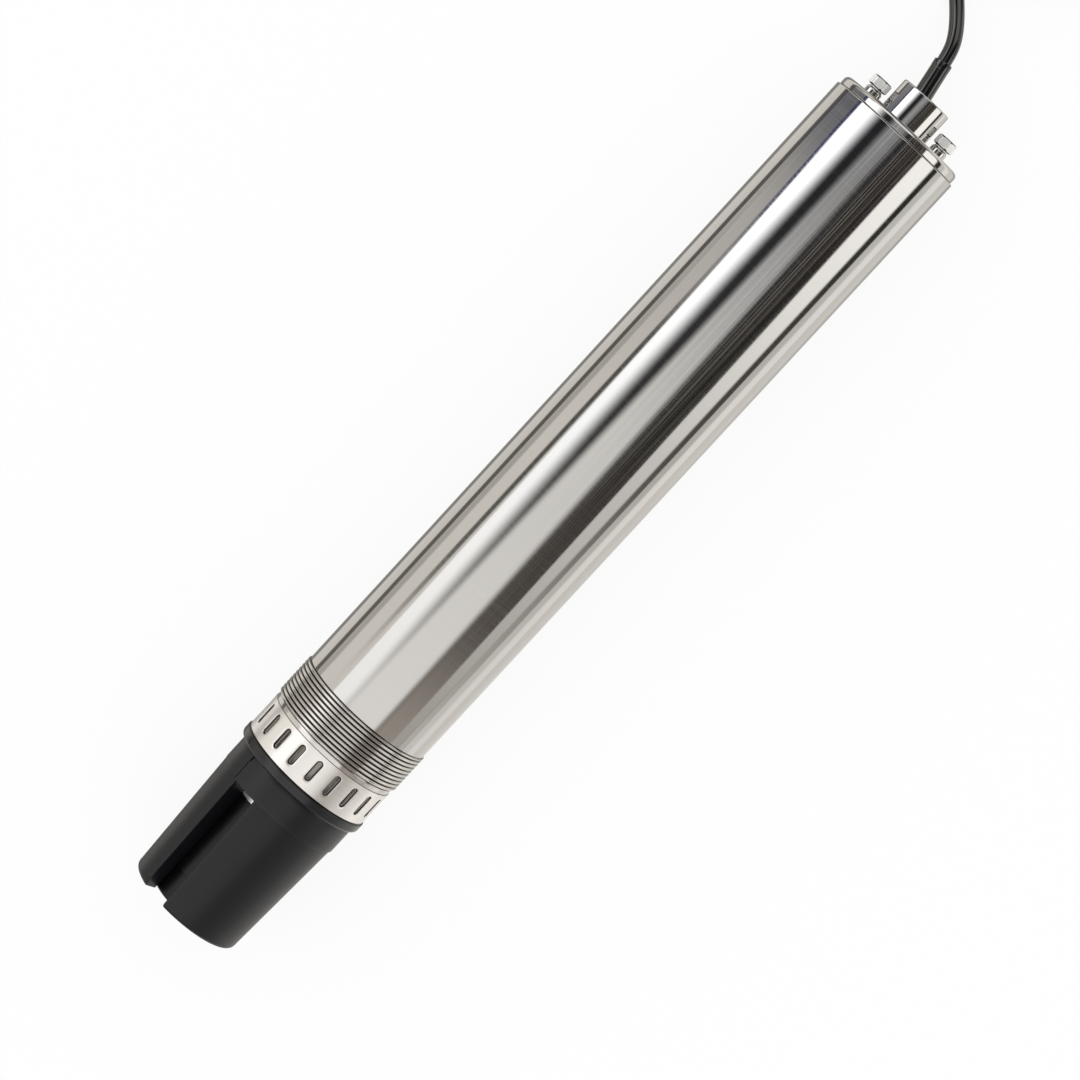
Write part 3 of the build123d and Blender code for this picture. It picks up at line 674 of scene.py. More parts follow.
def make_thread_tree():
    """A round-crested screw thread about the shaft: a grid whose lines follow the helix."""
    tree, given, leave = new_geometry_tree(
        "screw_thread", Start=FLOAT, End=FLOAT, Pitch=FLOAT, Crest_radius=FLOAT, Depth=FLOAT,
        Crest_fullness=FLOAT, Points_in_pitch=WHOLE, Points_round=WHOLE, Shaft_height=FLOAT,
    )
    calc = tree.calc
    pitch = given["Pitch"]
    length = calc("SUBTRACT", given["End"], given["Start"])
    sheet = calc("ADD", length, pitch)
    steps = calc("MULTIPLY", calc("DIVIDE", sheet, pitch), given["Points in pitch"])
    size = {"Size X": sheet, "Size Y": 1.0, "Vertices X": calc("ADD", steps, 1.0)}
    size["Vertices Y"] = calc("ADD", given["Points round"], 1.0)
    grid = tree.add("GeometryNodeMeshGrid", size)
    flat = tree.split(tree.add("GeometryNodeInputPosition"))
    round_share = calc("ADD", flat["Y"], 0.5)
    ridge = calc("MULTIPLY_ADD", sheet, 0.5, flat["X"])
    lead = calc("MULTIPLY", round_share, pitch)
    free = calc("ADD", calc("SUBTRACT", ridge, pitch), lead)
    held = calc("MINIMUM", calc("MAXIMUM", free, 0.0), length)
    half_pitch = calc("MULTIPLY", pitch, 0.5)
    swing = calc("PINGPONG", ridge, half_pitch)
    to_groove = calc("SUBTRACT", 1.0, calc("DIVIDE", swing, half_pitch))
    crest = calc("SUBTRACT", 1.0, calc("POWER", to_groove, given["Crest fullness"]))
    to_end = calc("MINIMUM", held, calc("SUBTRACT", length, held))
    runout = calc("DIVIDE", to_end, calc("MULTIPLY", pitch, RUNOUT_SHARE), clamp=True)
    height = calc("MULTIPLY", calc("MULTIPLY", crest, runout), given["Depth"])
    root = calc("SUBTRACT", given["Crest radius"], given["Depth"])
    radius = calc("ADD", root, height)
    angle = calc("MULTIPLY", round_share, 2 * math.pi)
    sideways = calc("MULTIPLY", radius, calc("SINE", angle))
    upright = calc("MULTIPLY", radius, calc("COSINE", angle))
    spot = tree.vector(
        X=calc("ADD", held, given["Start"]),
        Y=calc("MULTIPLY", sideways, -1.0),
        Z=calc("ADD", upright, given["Shaft height"]),
    )
    moved = tree.add("GeometryNodeSetPosition", {"Geometry": grid, "Position": spot})
    return finish_tree(tree, given, leave, moved, MERGE_REACH)


def make_row_tree():
    """Copies of the object's own mesh in a straight row across the shaft."""
    tree, given, leave = new_geometry_tree("row_of_copies", Count=WHOLE, Spacing=FLOAT)
    steps = tree.calc("SUBTRACT", given["Count"], 1.0)
    reach = tree.calc("MULTIPLY", tree.calc("MULTIPLY", steps, given["Spacing"]), -0.5)
    row = {"Count": given["Count"], "Start Location": tree.vector(Y=reach)}
    row["Offset"] = tree.vector(Y=given["Spacing"])
    line = tree.add("GeometryNodeMeshLine", row)
    copy = {"Points": line, "Instance": given["Geometry"]}
    copies = tree.add("GeometryNodeInstanceOnPoints", copy)
    return finish_tree(tree, given, leave, copies)


def make_wheel_tree():
    """Copies of one sector turned round the shaft until they close the ring."""
    tree, given, leave = new_geometry_tree(
        "ring_of_sectors", Count=WHOLE, First_turn=FLOAT, Shaft_height=FLOAT
    )
    step = tree.calc("DIVIDE", 2 * math.pi, given["Count"])
    passed = tree.calc("MULTIPLY", tree.add("GeometryNodeInputIndex"), step)
    turn = tree.calc("ADD", passed, given["First turn"])
    spots = tree.add("GeometryNodePoints", {"Count": given["Count"]})
    copy = {"Points": spots, "Instance": given["Geometry"], "Rotation": tree.vector(X=turn)}
    copies = tree.add("GeometryNodeInstanceOnPoints", copy)
    lift = {"Geometry": copies, "Translation": tree.vector(Z=given["Shaft height"])}
    return finish_tree(tree, given, leave, tree.add("GeometryNodeTransform", lift), MERGE_REACH)


THREAD_TREE = make_thread_tree()
ROW_TREE = make_row_tree()
WHEEL_TREE = make_wheel_tree()


def add_thread(made, finish, start, end, pitch, crest, depth, fullness, pitch_points, round_points):
    """Cuts a screw thread and joins it to a piece."""
    thread = bpy.data.objects.new("thread", bpy.data.meshes.new("thread"))
    scene.collection.objects.link(thread)
    bake_tree(
        thread, THREAD_TREE, finish,
        Start=(FOOT_END + start) * MM, End=(FOOT_END + end) * MM, Pitch=pitch * MM,
        Crest_radius=crest * MM, Depth=depth * MM, Crest_fullness=fullness,
        Points_in_pitch=pitch_points, Points_round=round_points, Shaft_height=SHAFT_HEIGHT * MM,
    )
    join_pieces(made, thread)


# Long tube and cap

TUBE_START, TUBE_END, CAP_TOP, OUTLET_TOP = 181.2, 683.5, 690.5, 713.5
TUBE_RADIUS, TUBE_BORE = 49, 47
SPIGOT_RADIUS, SPIGOT_DEPTH = 46.9, 5
CAP_RADIUS, CAP_BORE = 47.4, 41.9
SEAM_WIDTH = 0.45
OUTLET_HOLE = 12.5

turned_piece(
    "long_tube", "tube_steel", "outer_tube",
    [
        (TUBE_START, TUBE_RADIUS, 0.3), (TUBE_END, TUBE_RADIUS, 0.6),
        (TUBE_END, TUBE_BORE, 0.2), (TUBE_START, TUBE_BORE, 0.2),
    ],
    segments=256,
)
cap = turned_piece(
    "polished_cap", "cap_steel", "top_cap",
    [
        (TUBE_END - SPIGOT_DEPTH, SPIGOT_RADIUS, 0.2), (TUBE_END, SPIGOT_RADIUS, 0),
        (TUBE_END + SEAM_WIDTH, SPIGOT_RADIUS, 0.15), (TUBE_END + SEAM_WIDTH, CAP_RADIUS, 0.35),
        (CAP_TOP, CAP_RADIUS, 3.0), (CAP_TOP, OUTLET_HOLE, 0.4), (TUBE_END, OUTLET_HOLE, 0.2),
        (TUBE_END, CAP_BORE, 0), (TUBE_END - SPIGOT_DEPTH, CAP_BORE, 0.2),
    ],
    segments=256,
    steps=10,
)


def in_cap_seam(spot, normal):
    """Whether a face lies in the narrow groove between tube and cap."""
    near = abs(from_foot_end(spot) - TUBE_END) < 0.5
    return near and SPIGOT_RADIUS - 0.4 < off_shaft(spot) < CAP_RADIUS - 0.1


# Painted shade: the seam's faces get the dark steel.
paint_faces(cap, "bolt_edge", in_cap_seam)

# The round boss, with the pipe thread inside it

BOSS_RADIUS, BOSS_BORE = 18.5, 14.95
PIPE_PITCH, PIPE_CREST, PIPE_DEPTH = 2.309, 14.3, -0.7

boss = turned_object(
    "outlet_boss", "cap_steel",
    [
        (CAP_TOP, BOSS_RADIUS, 0.5), (OUTLET_TOP, BOSS_RADIUS, 1.1), (OUTLET_TOP, 15.3, 0.5),
        (OUTLET_TOP - 1.6, BOSS_BORE, 0), (CAP_TOP, BOSS_BORE, 0.2),
    ],
    segments=160,
)
add_thread(
    boss, "cap_steel", CAP_TOP + 0.6, OUTLET_TOP - 1.5, PIPE_PITCH, PIPE_CREST, PIPE_DEPTH, 2.0, 8, 96
)
settle(boss, "pump", "cap_steel", "outlet_socket")


# Bolts and gland. A hexagon's sections are cut at both ends by a cone.

HEX_SEGMENTS = 96
HEX_LEVELS = [0.0, 0.12, 0.3, 0.6, 1.0, 1.5]
CORNER_ROUND, CHAMFER_SLOPE = 0.35, 0.6
BOLT_SPACING = 56.0
SHANK_RADIUS, SHADOW_RADIUS = 4, 4.6
HEAD_START, HEAD_FLATS, HEAD_CHAMFER = CAP_TOP + 5.4, 13.0, 1.3
HEAD_TWIST = math.radians(10)
CHAMFER_LEAN = (0.15, 0.98)
POST_BORE, POST_RADIUS = 4.1, 5.9
GLAND_TOP = CAP_TOP + 6.0
GLAND_FLATS, GLAND_CHAMFER = 15.0, 1.0
GLAND_UP = -30.0
STEM_RADIUS = 6
PLUG_SIDE, PLUG_UP = 20.0, -16.0


def add_hexagon(maker, start, end, flats, chamfer, twist=0.0, up=0.0):
    """Adds a hexagon block between two distances, its corners rounded and its rims chamfered."""
    corner = flats / 2 / math.cos(math.pi / 6) - CORNER_ROUND
    depth = end - start
    rings = []
    for height in HEX_LEVELS + [depth - level for level in reversed(HEX_LEVELS)]:
        inset = min(height, depth - height)
        limit = corner - chamfer + min(inset, chamfer * CHAMFER_SLOPE) / CHAMFER_SLOPE

        def spot(turn):
            nearest = (turn + twist + math.pi / 6) % (math.pi / 3) - math.pi / 6
            radius = min(flats / 2 / math.cos(nearest), corner, limit)
            return turned_spot(start + height, radius, turn, up=up)

        rings.append(add_ring(maker, HEX_SEGMENTS, spot))
    join_rings(maker, rings)


def settle_pair(made, finish, node):
    """Makes two of a piece, one on each side of the outlet."""
    bake_tree(made, ROW_TREE, finish, Count=2, Spacing=BOLT_SPACING * MM)
    settle(made, "pump", finish, node)


maker = bmesh.new()
add_hexagon(maker, HEAD_START + 0.7, HEAD_START + 7.8, HEAD_FLATS, HEAD_CHAMFER, HEAD_TWIST)
add_turned(
    maker,
    [
        (TUBE_END, 0, 0), (TUBE_END, SHANK_RADIUS, 0.3), (HEAD_START, SHANK_RADIUS, 0),
        (HEAD_START, SHADOW_RADIUS, 0.1), (HEAD_START + 0.8, SHADOW_RADIUS, 0),
        (HEAD_START + 0.8, 0, 0),
    ],
    segments=64,
)
bolts = object_from(maker, "cap_bolt_pair", "bolt_steel")
settle_pair(bolts, "bolt_steel", "cap_bolts")
# Painted shade: the heads' chamfers get the dark steel.
paint_faces(
    bolts, "bolt_edge", lambda spot, normal: CHAMFER_LEAN[0] < abs(normal.x) < CHAMFER_LEAN[1]
)

posts = turned_object(
    "bolt_post_pair", "cap_steel",
    [
        (CAP_TOP, POST_BORE, 0), (CAP_TOP, POST_RADIUS, 0.4), (CAP_TOP + 3.9, POST_RADIUS, 0.5),
        (HEAD_START, 5.0, 0.3), (HEAD_START, POST_BORE, 0),
    ],
    segments=64,
)
settle_pair(posts, "cap_steel", "bolt_posts")

turned_piece(
    "filler_dome", "plug_black", "filler_plug",
    [(CAP_TOP, 0, 0), (CAP_TOP, 3.5, 0), (CAP_TOP + 2.4, 3.3, 1.6), (CAP_TOP + 2.4, 0, 0)],
    segments=48,
    side=PLUG_SIDE,
    up=PLUG_UP,
)

maker = bmesh.new()
add_hexagon(maker, CAP_TOP, GLAND_TOP, GLAND_FLATS, GLAND_CHAMFER, up=GLAND_UP)
add_turned(
    maker,
    [(TUBE_END, 0, 0), (TUBE_END, STEM_RADIUS, 0.3), (CAP_TOP, STEM_RADIUS, 0), (CAP_TOP, 0, 0)],
    segments=48,
    up=GLAND_UP,
)
gland = object_from(maker, "lead_gland", "gland_steel")
settle(gland, "pump", "gland_steel", "cable_gland")


# Threaded ring between strainer and tube: a smooth neck and a coarse thread

STRAINER_START, STRAINER_END = 122.0, 147.2
NECK_END, NECK_RADIUS, RING_BORE = 151.1, 48.5, 42.0
THREAD_ROOT, THREAD_CREST, THREAD_DEPTH, THREAD_PITCH = 47.8, 50.0, 2.0, 3.0
SHADE_DEPTH = 0.88

ring = turned_object(
    "thread_ring", "thread_steel",
    [
        (STRAINER_END, NECK_RADIUS, 0.7), (NECK_END, NECK_RADIUS, 0.5),
        (NECK_END, THREAD_ROOT, 0), (TUBE_START, THREAD_ROOT, 0.2),
        (TUBE_START, SPIGOT_RADIUS, 0), (TUBE_START + 10, SPIGOT_RADIUS, 0.4),
        (TUBE_START + 10, RING_BORE, 0.4), (STRAINER_END, RING_BORE, 0.4),
    ],
    segments=240,
)
add_thread(
    ring, "thread_steel", NECK_END + 0.1, TUBE_START, THREAD_PITCH, THREAD_CREST, THREAD_DEPTH, 2.6,
    12, 240,
)


def in_thread_groove(spot, normal):
    """Whether a face lies deep between two ridges."""
    deep = THREAD_ROOT + 0.1 < off_shaft(spot) < THREAD_CREST - SHADE_DEPTH
    return deep and NECK_END + 0.2 < from_foot_end(spot) < TUBE_START


# Painted shade: the deep faces between the ridges get the darker steel.
paint_faces(ring, "thread_groove", in_thread_groove)
settle(ring, "pump", "thread_steel", "threaded_ring")


# Strainer: one sector with its slot, copied round the shaft

SLOT_COUNT = 20
SLOT_LENGTH, SLOT_WIDTH = 16.2, 4.8
SLOT_MIDDLE = STRAINER_END - 3.3 - SLOT_LENGTH / 2
SLOT_TURN = math.radians(2.6)
SLOT_POINTS = 48
SLOT_EDGE, SLOT_STEP, LEDGE_DEPTH = 0.45, 0.75, 1.3
STRAINER_OUTER, STRAINER_INNER = 49.0, 46.0
NO_LENGTH = 1e-6


def slot_loop(grow=0.0):
    """Points of a slot's outline in millimetres, as (lengthwise, crosswise) from its middle."""
    half = (SLOT_LENGTH - SLOT_WIDTH) / 2
    radius = SLOT_WIDTH / 2 + grow
    quarter = SLOT_POINTS // 4
    loop = []
    for sign in (1, -1):
        for index in range(quarter):
            turn = math.pi * index / quarter - sign * math.pi / 2
            loop.append((sign * half + radius * math.cos(turn), radius * math.sin(turn)))
        for index in range(quarter):
            loop.append((sign * (half - 2 * half * index / quarter), sign * radius))
    return loop


def between(first, last, share):
    """The point at a share of the way from one point to another."""
    return [start + (end - start) * share for start, end in zip(first, last)]


def make_strainer():
    maker = bmesh.new()
    low, high = STRAINER_START - SLOT_MIDDLE, STRAINER_END - SLOT_MIDDLE
    side = math.pi / SLOT_COUNT * STRAINER_OUTER

    def spot(point, radius):
        """A point of the flat sector bent round the line y = z = 0."""
        x, turn = FOOT_END + SLOT_MIDDLE + point[0], point[1] / STRAINER_OUTER
        return maker.verts.new(Vector((x, -radius * math.sin(turn), radius * math.cos(turn))) * MM)

    def border(lengthwise, crosswise):
        """Carries a point of the slot out to the sector's rectangle."""
        scale = side / max(abs(crosswise), NO_LENGTH)
        if abs(lengthwise) > NO_LENGTH:
            scale = min(scale, (high if lengthwise > 0 else low) / lengthwise)
        return (lengthwise * scale, crosswise * scale)

    def spread(inside, radius):
        """Rings from the slot out to the sector's rim."""
        return [
            [spot(between(inner, outer, share), radius) for inner, outer in zip(inside, rim)]
            for share in (0.0, 0.25, 0.5, 0.75, 1.0)
        ]

    slot, wide, narrow = slot_loop(), slot_loop(SLOT_EDGE), slot_loop(-SLOT_STEP)
    rim = [border(*point) for point in slot]
    for corner in ((high, -side), (high, side), (low, side), (low, -side)):
        nearest = min(range(SLOT_POINTS), key=lambda i: math.dist(rim[i], corner))
        rim[nearest] = corner
    top = spread(wide, STRAINER_OUTER)
    bottom = spread(narrow, STRAINER_INNER)
    soft = [
        spot(between(outer, inner, 0.75), STRAINER_OUTER - SLOT_EDGE * 0.25)
        for outer, inner in zip(wide, slot)
    ]
    wall_top = [spot(point, STRAINER_OUTER - SLOT_EDGE) for point in slot]
    ledge = [spot(point, STRAINER_OUTER - LEDGE_DEPTH) for point in narrow]

    for rings in (top, bottom, [top[0], soft, wall_top, ledge, bottom[0]]):
        for first, second in zip(rings, rings[1:]):
            bridge(maker, first, second)
    for index in range(SLOT_POINTS):
        ahead = (index + 1) % SLOT_POINTS
        if rim[index][0] in (low, high) and abs(rim[index][0] - rim[ahead][0]) < NO_LENGTH:
            outside, inside = top[-1], bottom[-1]
            maker.faces.new((outside[index], outside[ahead], inside[ahead], inside[index]))
    strainer = object_from(maker, "slotted_strainer", "strainer_steel")
    bake_tree(
        strainer, WHEEL_TREE, "strainer_steel",
        Count=SLOT_COUNT, First_turn=SLOT_TURN, Shaft_height=SHAFT_HEIGHT * MM,
    )
    floor, edge = STRAINER_OUTER - LEDGE_DEPTH, STRAINER_OUTER - SLOT_EDGE
    # Painted shade: the slot walls from the rounded rim down to the ledge are near-black.
    paint_faces(strainer, "slot_edge", lambda spot, normal: floor < off_shaft(spot) < edge)
    paint_faces(strainer, "cup_dark", lambda spot, normal: off_shaft(spot) < floor)
    settle(strainer, "pump", "strainer_steel", "strainer_ring")


make_strainer()

CUP_RADIUS, CUP_BORE, CUP_FLOOR, CUP_TOP = 42.5, 41, 123.5, 142.7

turned_piece(
    "bright_cup", "cup_dark", "inlet_cup",
    [
        (STRAINER_START, 0, 0), (STRAINER_START, CUP_RADIUS, 0.4), (CUP_TOP, CUP_RADIUS, 0.6),
        (CUP_TOP, CUP_BORE, 0.6), (CUP_FLOOR, CUP_BORE, 0.8), (CUP_FLOOR, 0, 0),
    ],
)


# Black foot: a tapered shell with a deep groove, and a flange over the collar's seat

FOOT_TOP = 93.7
FOOT_STATIONS = [0.0, 0.06, 0.22, 0.45, 0.8, 1.3, 2.0, 3.0, 20.0, 45.0, 70.0, FOOT_TOP]
FOOT_RADIUS, FOOT_SPREAD = 41.9, 4.0
FOOT_ROUND, MOUTH_ROUND, LIP_ROUND = 3.0, 0.8, 0.7
GROOVE_TURN = math.radians(29.5)
GROOVE_HALF = 10.0
OUTSIDE_STEPS, WALL_STEPS, SOCKET_STEPS = 200, 4, 120
SOCKET_RADIUS, SOCKET_TOP_RADIUS = 29.3, 28.5
SEAT_RADIUS = 45.3
FLANGE_START, FLANGE_RADIUS = 113.7, 50
LINE_START, LINE_RADIUS = STRAINER_START - 0.9, 49.2


def quarter_round(distance, rounding):
    """How far a rounded end falls short of its full size, so far from the end."""
    drop = rounding - distance
    return rounding - math.sqrt(max(rounding * rounding - drop * drop, 0.0))


def foot_section(distance):
    """The foot's section at a distance: outer radius, half groove width and inner radius."""
    radius = FOOT_RADIUS + FOOT_SPREAD * distance / FOOT_TOP
    if distance < FOOT_ROUND:
        radius -= quarter_round(distance, FOOT_ROUND)
    soft = quarter_round(distance, MOUTH_ROUND) if distance < MOUTH_ROUND else 0.0
    return radius, GROOVE_HALF + soft, SOCKET_RADIUS + soft


def foot_loop(distance):
    """Closed loop of one section, in millimetres from the shaft: round, down one wall of the
    groove, back along the socket and up the other wall."""
    radius, groove, socket = foot_section(distance)
    soft = LIP_ROUND

    def arc(size, first, last, count):
        turns = [first + (last - first) * index / count for index in range(count + 1)]
        return [(size * math.sin(turn), size * math.cos(turn)) for turn in turns]

    rim = math.asin((groove + soft) / radius)
    back = math.asin(groove / socket)
    top = math.sqrt(radius * radius - (groove + soft) ** 2) - soft
    foot = math.sqrt(socket * socket - groove * groove)
    wall = []
    for step in range(1, WALL_STEPS + 1):
        turn = math.pi / 2 * step / WALL_STEPS
        wall.append((-groove - soft + soft * math.sin(turn), top + soft * math.cos(turn)))
    for step in range(1, WALL_STEPS + 1):
        wall.append((-groove, top + (foot - top) * step / WALL_STEPS))
    other_wall = [(-across, up) for across, up in reversed(wall[:-1])]
    outside = arc(radius, rim, 2 * math.pi - rim, OUTSIDE_STEPS)
    inside = arc(socket, 2 * math.pi - back, back, SOCKET_STEPS)
    return outside + wall + inside + other_wall


def make_foot():
    maker = bmesh.new()
    rings = []
    for distance in FOOT_STATIONS:
        ring = []
        for across, up in foot_loop(distance):
            side = across * math.cos(GROOVE_TURN) + up * math.sin(GROOVE_TURN)
            rise = -across * math.sin(GROOVE_TURN) + up * math.cos(GROOVE_TURN)
            ring.append(maker.verts.new(place(distance, side, rise)))
        rings.append(ring)
    join_rings(maker, rings)
    foot = object_from(maker, "black_foot", "foot_black")
    flange = turned_object(
        "foot_flange", "foot_black",
        [
            (FOOT_TOP - 0.2, SOCKET_TOP_RADIUS, 0), (FOOT_TOP - 0.2, SEAT_RADIUS, 0.2),
            (FLANGE_START, SEAT_RADIUS, 0.3), (FLANGE_START, FLANGE_RADIUS, 2.6),
            (LINE_START, FLANGE_RADIUS, 0.7), (LINE_START, LINE_RADIUS, 0.1),
            (STRAINER_START, LINE_RADIUS, 0.1), (STRAINER_START, 0, 0),
            (STRAINER_START - 1, 0, 0), (STRAINER_START - 1, SOCKET_TOP_RADIUS, 0),
        ],
        segments=240,
        steps=8,
    )
    join_pieces(foot, flange)
    # The flange gets a glossier black, and the thin ring next to the strainer gets near-black painted
    # shade.
    for finish, start in (("flange_gloss", FLANGE_START - 0.7), ("flange_line", LINE_START - 0.05)):
        paint_faces(
            foot, finish,
            lambda spot, normal: start < from_foot_end(spot) and off_shaft(spot) > SEAT_RADIUS + 0.7,
        )
    settle(foot, "pump", "foot_black", "foot_housing")


make_foot()


# Cover plates on the collar, bent between two angles that count from straight up to +Y

COVER_LOW, COVER_HIGH = 93.8, 113.6
COVER_INNER, COVER_BEVEL = 45.6, 0.25
COVER_COLUMNS, COVER_ROWS = 160, 6


def make_cover(name, replaced, first, sweep, outer, soft_corner):
    maker = bmesh.new()
    columns = []
    for index in range(COVER_COLUMNS + 1):
        share = index / COVER_COLUMNS
        turn = math.radians(first + sweep * share)
        from_end = min(share, 1 - share) * math.radians(abs(sweep)) * outer
        top = COVER_HIGH
        if from_end < soft_corner:
            top -= quarter_round(from_end, soft_corner)
        column = []
        for row in range(COVER_ROWS + 1):
            distance = COVER_LOW + (top - COVER_LOW) * row / COVER_ROWS
            spot = place(distance, outer * math.sin(turn), outer * math.cos(turn))
            column.append(maker.verts.new(spot))
        columns.append(column)
    for left, right in zip(columns, columns[1:]):
        for row in range(COVER_ROWS):
            maker.faces.new((left[row], right[row], right[row + 1], left[row + 1]))
    cover = object_from(maker, name, "collar_black")
    shell = cover.modifiers.new("thickness", "SOLIDIFY")
    shell.thickness = (outer - COVER_INNER) * MM
    shell.offset = -1.0
    soften = cover.modifiers.new("soft_edges", "BEVEL")
    soften.width = COVER_BEVEL * MM
    soften.segments = 3
    soften.limit_method = "ANGLE"
    soften.angle_limit = math.radians(40)
    settle(cover, "pump", "collar_black", replaced)


make_cover("front_cover", "collar_front", 43.7, -177.0, 46.8, 5.0)
make_cover("rear_cover", "collar_rear", 45.2, 181.0, 46.2, 0.0)

# Level sensor: its can, the sleeve on it and the plug at its lower end

CAN_START, CAN_END, SLEEVE_END = 22, 107.7, 86.4
CAN_RADIUS, SLEEVE_BORE, SLEEVE_RADIUS, STOPPER_RADIUS = 28.4, 28.5, 29.2, 28.0

turned_piece(
    "sensor_tin", "sensor_steel", "sensor_can",
    [(CAN_START, 0, 0), (CAN_START, CAN_RADIUS, 0.3), (CAN_END, CAN_RADIUS, 0.8), (CAN_END, 0, 0)],
)
turned_piece(
    "sensor_jacket", "sleeve_black", "sensor_sleeve",
    [
        (CAN_START, SLEEVE_BORE, 0), (CAN_START, SLEEVE_RADIUS, 0.3),
        (SLEEVE_END, SLEEVE_RADIUS, 0.4), (SLEEVE_END, SLEEVE_BORE, 0),
    ],
)
turned_piece(
    "sensor_stopper", "sleeve_black", "sensor_plug",
    [
        (1.2, 0, 0), (1.2, STOPPER_RADIUS, 1.4),
        (CAN_START, STOPPER_RADIUS, 0.4), (CAN_START, 0, 0),
    ],
)


# Valve spring: a coil of wire, built at one length; in the pump it shortens as the poppet lifts

SPRING_TURNS, CLOSED_TURNS = 4.5, 0.75
SPRING_STEPS, WIRE_SEGMENTS = 216, 16
WIRE_RADIUS = 0.7
SPRING_PLAY = 0.05


def spring_climb(turns, length):
    """How far the wire has climbed after so many turns: closed at both ends, open between."""
    closed_pitch = 2 * WIRE_RADIUS
    open_turns = SPRING_TURNS - 2 * CLOSED_TURNS
    open_climb = length - 2 * WIRE_RADIUS - 2 * CLOSED_TURNS * closed_pitch
    climbed = min(turns, CLOSED_TURNS) * closed_pitch
    climbed += min(max(turns - CLOSED_TURNS, 0.0), open_turns) * open_climb / open_turns
    return climbed + max(turns - CLOSED_TURNS - open_turns, 0.0) * closed_pitch


def make_valve_spring():
    low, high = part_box("valve_spring")
    room = (high[0] - low[0]) / MM
    coil_radius = (high[1] - low[1]) / MM / 2 - WIRE_RADIUS
    first = low[0] / MM - FOOT_END + SPRING_PLAY + WIRE_RADIUS
    maker = bmesh.new()
    rings = []
    for step in range(SPRING_STEPS + 1):
        turns = SPRING_TURNS * step / SPRING_STEPS
        middle = first + spring_climb(turns, room - SPRING_PLAY)

        def spot(turn):
            radius = coil_radius + WIRE_RADIUS * math.cos(turn)
            return turned_spot(middle + WIRE_RADIUS * math.sin(turn), radius, 2 * math.pi * turns)

        rings.append(add_ring(maker, WIRE_SEGMENTS, spot))
    join_rings(maker, rings)
    spring = object_from(maker, "coil_spring", "spring_steel")
    settle(spring, "pump", "spring_steel", "valve_spring")
    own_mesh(spring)


make_valve_spring()


# Cable: one open spline through the route and round the coil

BOOT_START = place(GLAND_TOP, 0.0, GLAND_UP)
BOOT_TIP = Vector((382.2, 7.6, 18.0)) * MM
BOOT_LINE = BOOT_TIP - BOOT_START
FIRST_RUN = 8.5 * MM
CABLE_ROUTE = [
    (399.2, 13.2, 16.3),
    (408.1, 19.8, 13.0),
    (418.3, 29.3, 9.0),
    (432.4, 43.5, 6.0),
    (447.6, 57.9, 5.1),
]
COIL_CENTRE = (513.6, 37.8)
COIL_ENTRY = 134.0
COIL_SWEEP = 5.4 * 360
CLIMBS = ((284.5, 334.5), (644.5, 694.5))
STEP_INWARD = (934.5, 1004.5)
DROPS = ((1249.5, 1294.5), (1609.5, 1654.5))
OUTER_TURN, INNER_TURN = 60.0, 50.0
TURN_SLACK = 1.0085
TUCK_SWEEP, TUCK_DEPTH = 33, 5.0
CABLE_RADIUS = 5.0
POINTS_IN_TURN = 24
CORE_COUNT = 3
CORE_JACKET = [(-1.0, 1.3), (9.6, 1.3), (9.9, 1.1), (10.0, 0.8)]
CORE_WIRE = [(9.0, 0.75), (13.6, 0.75), (13.9, 0.55)]
CORE_OFFSET = 1.7 * MM
CORE_LEAN = math.radians(-90 - 20)
SKY = Vector((0, 0, 1))


def eased(value, start, end):
    """Goes smoothly from 0 at start to 1 at end."""
    share = min(max((value - start) / (end - start), 0.0), 1.0)
    return share * share * (3 - 2 * share)


def coil_point(swept):
    """Where the cable is after so many degrees: three turns up outside, then down inside."""
    radius = OUTER_TURN - (OUTER_TURN - INNER_TURN) * eased(swept, *STEP_INWARD)
    climb = sum(eased(swept, *window) for window in CLIMBS)
    drop = sum(eased(swept, *window) for window in DROPS)
    height = CABLE_RADIUS * (1 + 2 * (climb - drop))
    left = COIL_SWEEP - swept
    if left < TUCK_SWEEP:
        radius -= TUCK_DEPTH * (1 - left / TUCK_SWEEP) ** 2
    elif swept > 0:
        radius *= TURN_SLACK
    turn = math.radians(COIL_ENTRY - swept)
    x = COIL_CENTRE[0] + radius * math.cos(turn)
    y = COIL_CENTRE[1] + radius * math.sin(turn)
    return Vector((x, y, height)) * MM


def make_cable():
    points = [BOOT_TIP, BOOT_TIP + BOOT_LINE.normalized() * FIRST_RUN]
    points += [Vector(point) * MM for point in CABLE_ROUTE]
    step = 360 / POINTS_IN_TURN
    swept = 0.0
    while swept < COIL_SWEEP - step / 2:
        points.append(coil_point(swept))
        swept += step
    points.append(coil_point(COIL_SWEEP))
    curve = bpy.data.curves.new("power_cord", "CURVE")
    curve.dimensions = "3D"
    curve.bevel_depth = CABLE_RADIUS * MM
    curve.bevel_resolution = 6
    curve.resolution_u = 4
    curve.use_fill_caps = True
    spline = curve.splines.new("NURBS")
    spline.points.add(len(points) - 1)
    for control, point in zip(spline.points, points):
        control.co = (*point, 1.0)
    spline.order_u = 3
    spline.use_endpoint_u = True
    curve.materials.append(FINISHES["cord_rubber"])
    cord = bpy.data.objects.new("power_cord", curve)
    scene.collection.objects.link(cord)
    return cord


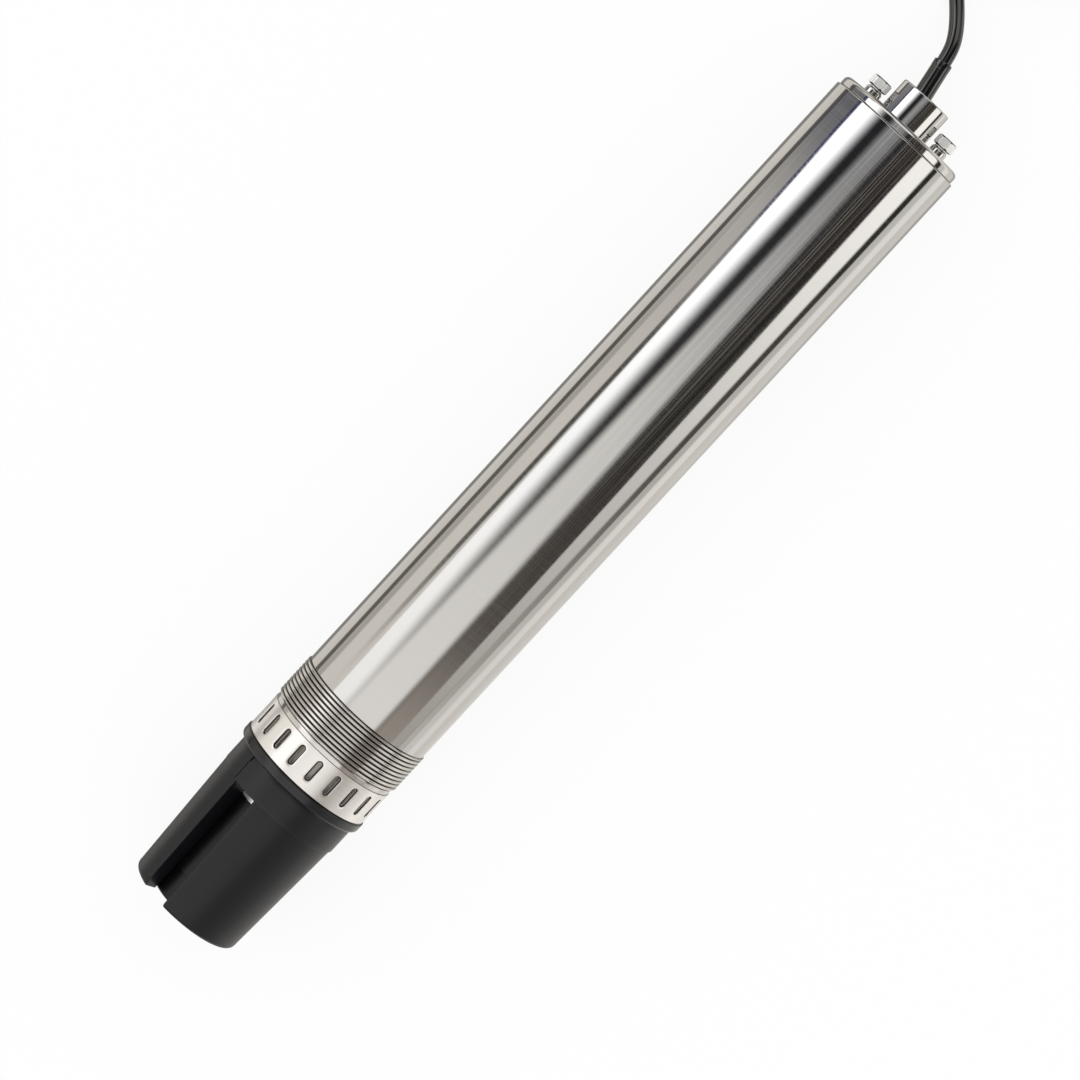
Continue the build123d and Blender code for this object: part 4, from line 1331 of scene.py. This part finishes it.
def swept_object(name, finish, start, direction, sections, segments):
    """An object that is round about a straight line, from its (distance, radius) sections."""
    lean = direction.to_track_quat("Z", "Y").to_matrix()
    maker = bmesh.new()
    rings = []
    for distance, radius in sections:

        def spot(turn):
            local = Vector((radius * math.cos(turn), radius * math.sin(turn), distance)) * MM
            return start + lean @ local

        rings.append(add_ring(maker, segments, spot))
    join_rings(maker, rings)
    return object_from(maker, name, finish)


def make_boot():
    """The tapered strain relief: a cuff at the gland, a smooth barrel and an open lip."""
    length = BOOT_LINE.length / MM
    cuff = [(0.2, 5.6), (0.4, 6.6), (0.8, 6.95), (8.6, 6.95), (9.2, 6.75), (9.5, 6.45), (10.4, 6.4)]
    lip = [
        (5.4, 6.2), (5.0, 6.25), (4.6, 6.3), (0.5, 6.3), (0.15, 6.2), (0, 5.95), (0, 5.35), (0.6, 5.1),
    ]
    sections = cuff + [(length - back, radius) for back, radius in lip]
    boot = swept_object(
        "lead_boot", "boot_rubber", BOOT_START, BOOT_LINE.normalized(), sections, 72
    )
    settle(boot, "pump", "boot_rubber", "cable_boot")
    return boot


def make_cores():
    """Three insulated cores out of the cable's bare end, each with a bright copper tip."""
    end = coil_point(COIL_SWEEP)
    spoke_turn = math.radians(COIL_ENTRY - COIL_SWEEP)
    spoke = Vector((math.cos(spoke_turn), math.sin(spoke_turn), 0.0))
    heading = Matrix.Rotation(CORE_LEAN, 3, "Z") @ spoke
    across = heading.cross(SKY)
    parts = []
    for index in range(CORE_COUNT):
        turn = 2 * math.pi * index / CORE_COUNT
        start = end + (across * math.cos(turn) + SKY * math.sin(turn)) * CORE_OFFSET
        core = swept_object(f"core_{index}", "core_insulation", start, heading, CORE_JACKET, 24)
        tip = swept_object(f"tip_{index}", "core_insulation", start, heading, CORE_WIRE, 16)
        paint_faces(tip, "bare_copper", lambda spot, normal: True)
        parts += [core, tip]
    whole = parts[0]
    whole.name = "lead_cores"
    whole.data.materials.append(FINISHES["bare_copper"])
    join_pieces(*parts)
    settle(whole, "pump", "core_insulation", "cable_cores")
    return whole


boot = make_boot()
cores = make_cores()
cord = make_cable()
settle(cord, "pump", "cord_rubber", "power_cable", "cable_coil")


# Pieces that keep the solid's own shape get their finish

for part in frame["record"]["subparts"]:
    kept = nodes[part["node"]].data.materials
    kept.clear()
    kept.append(FINISHES[part["material_slot"]])
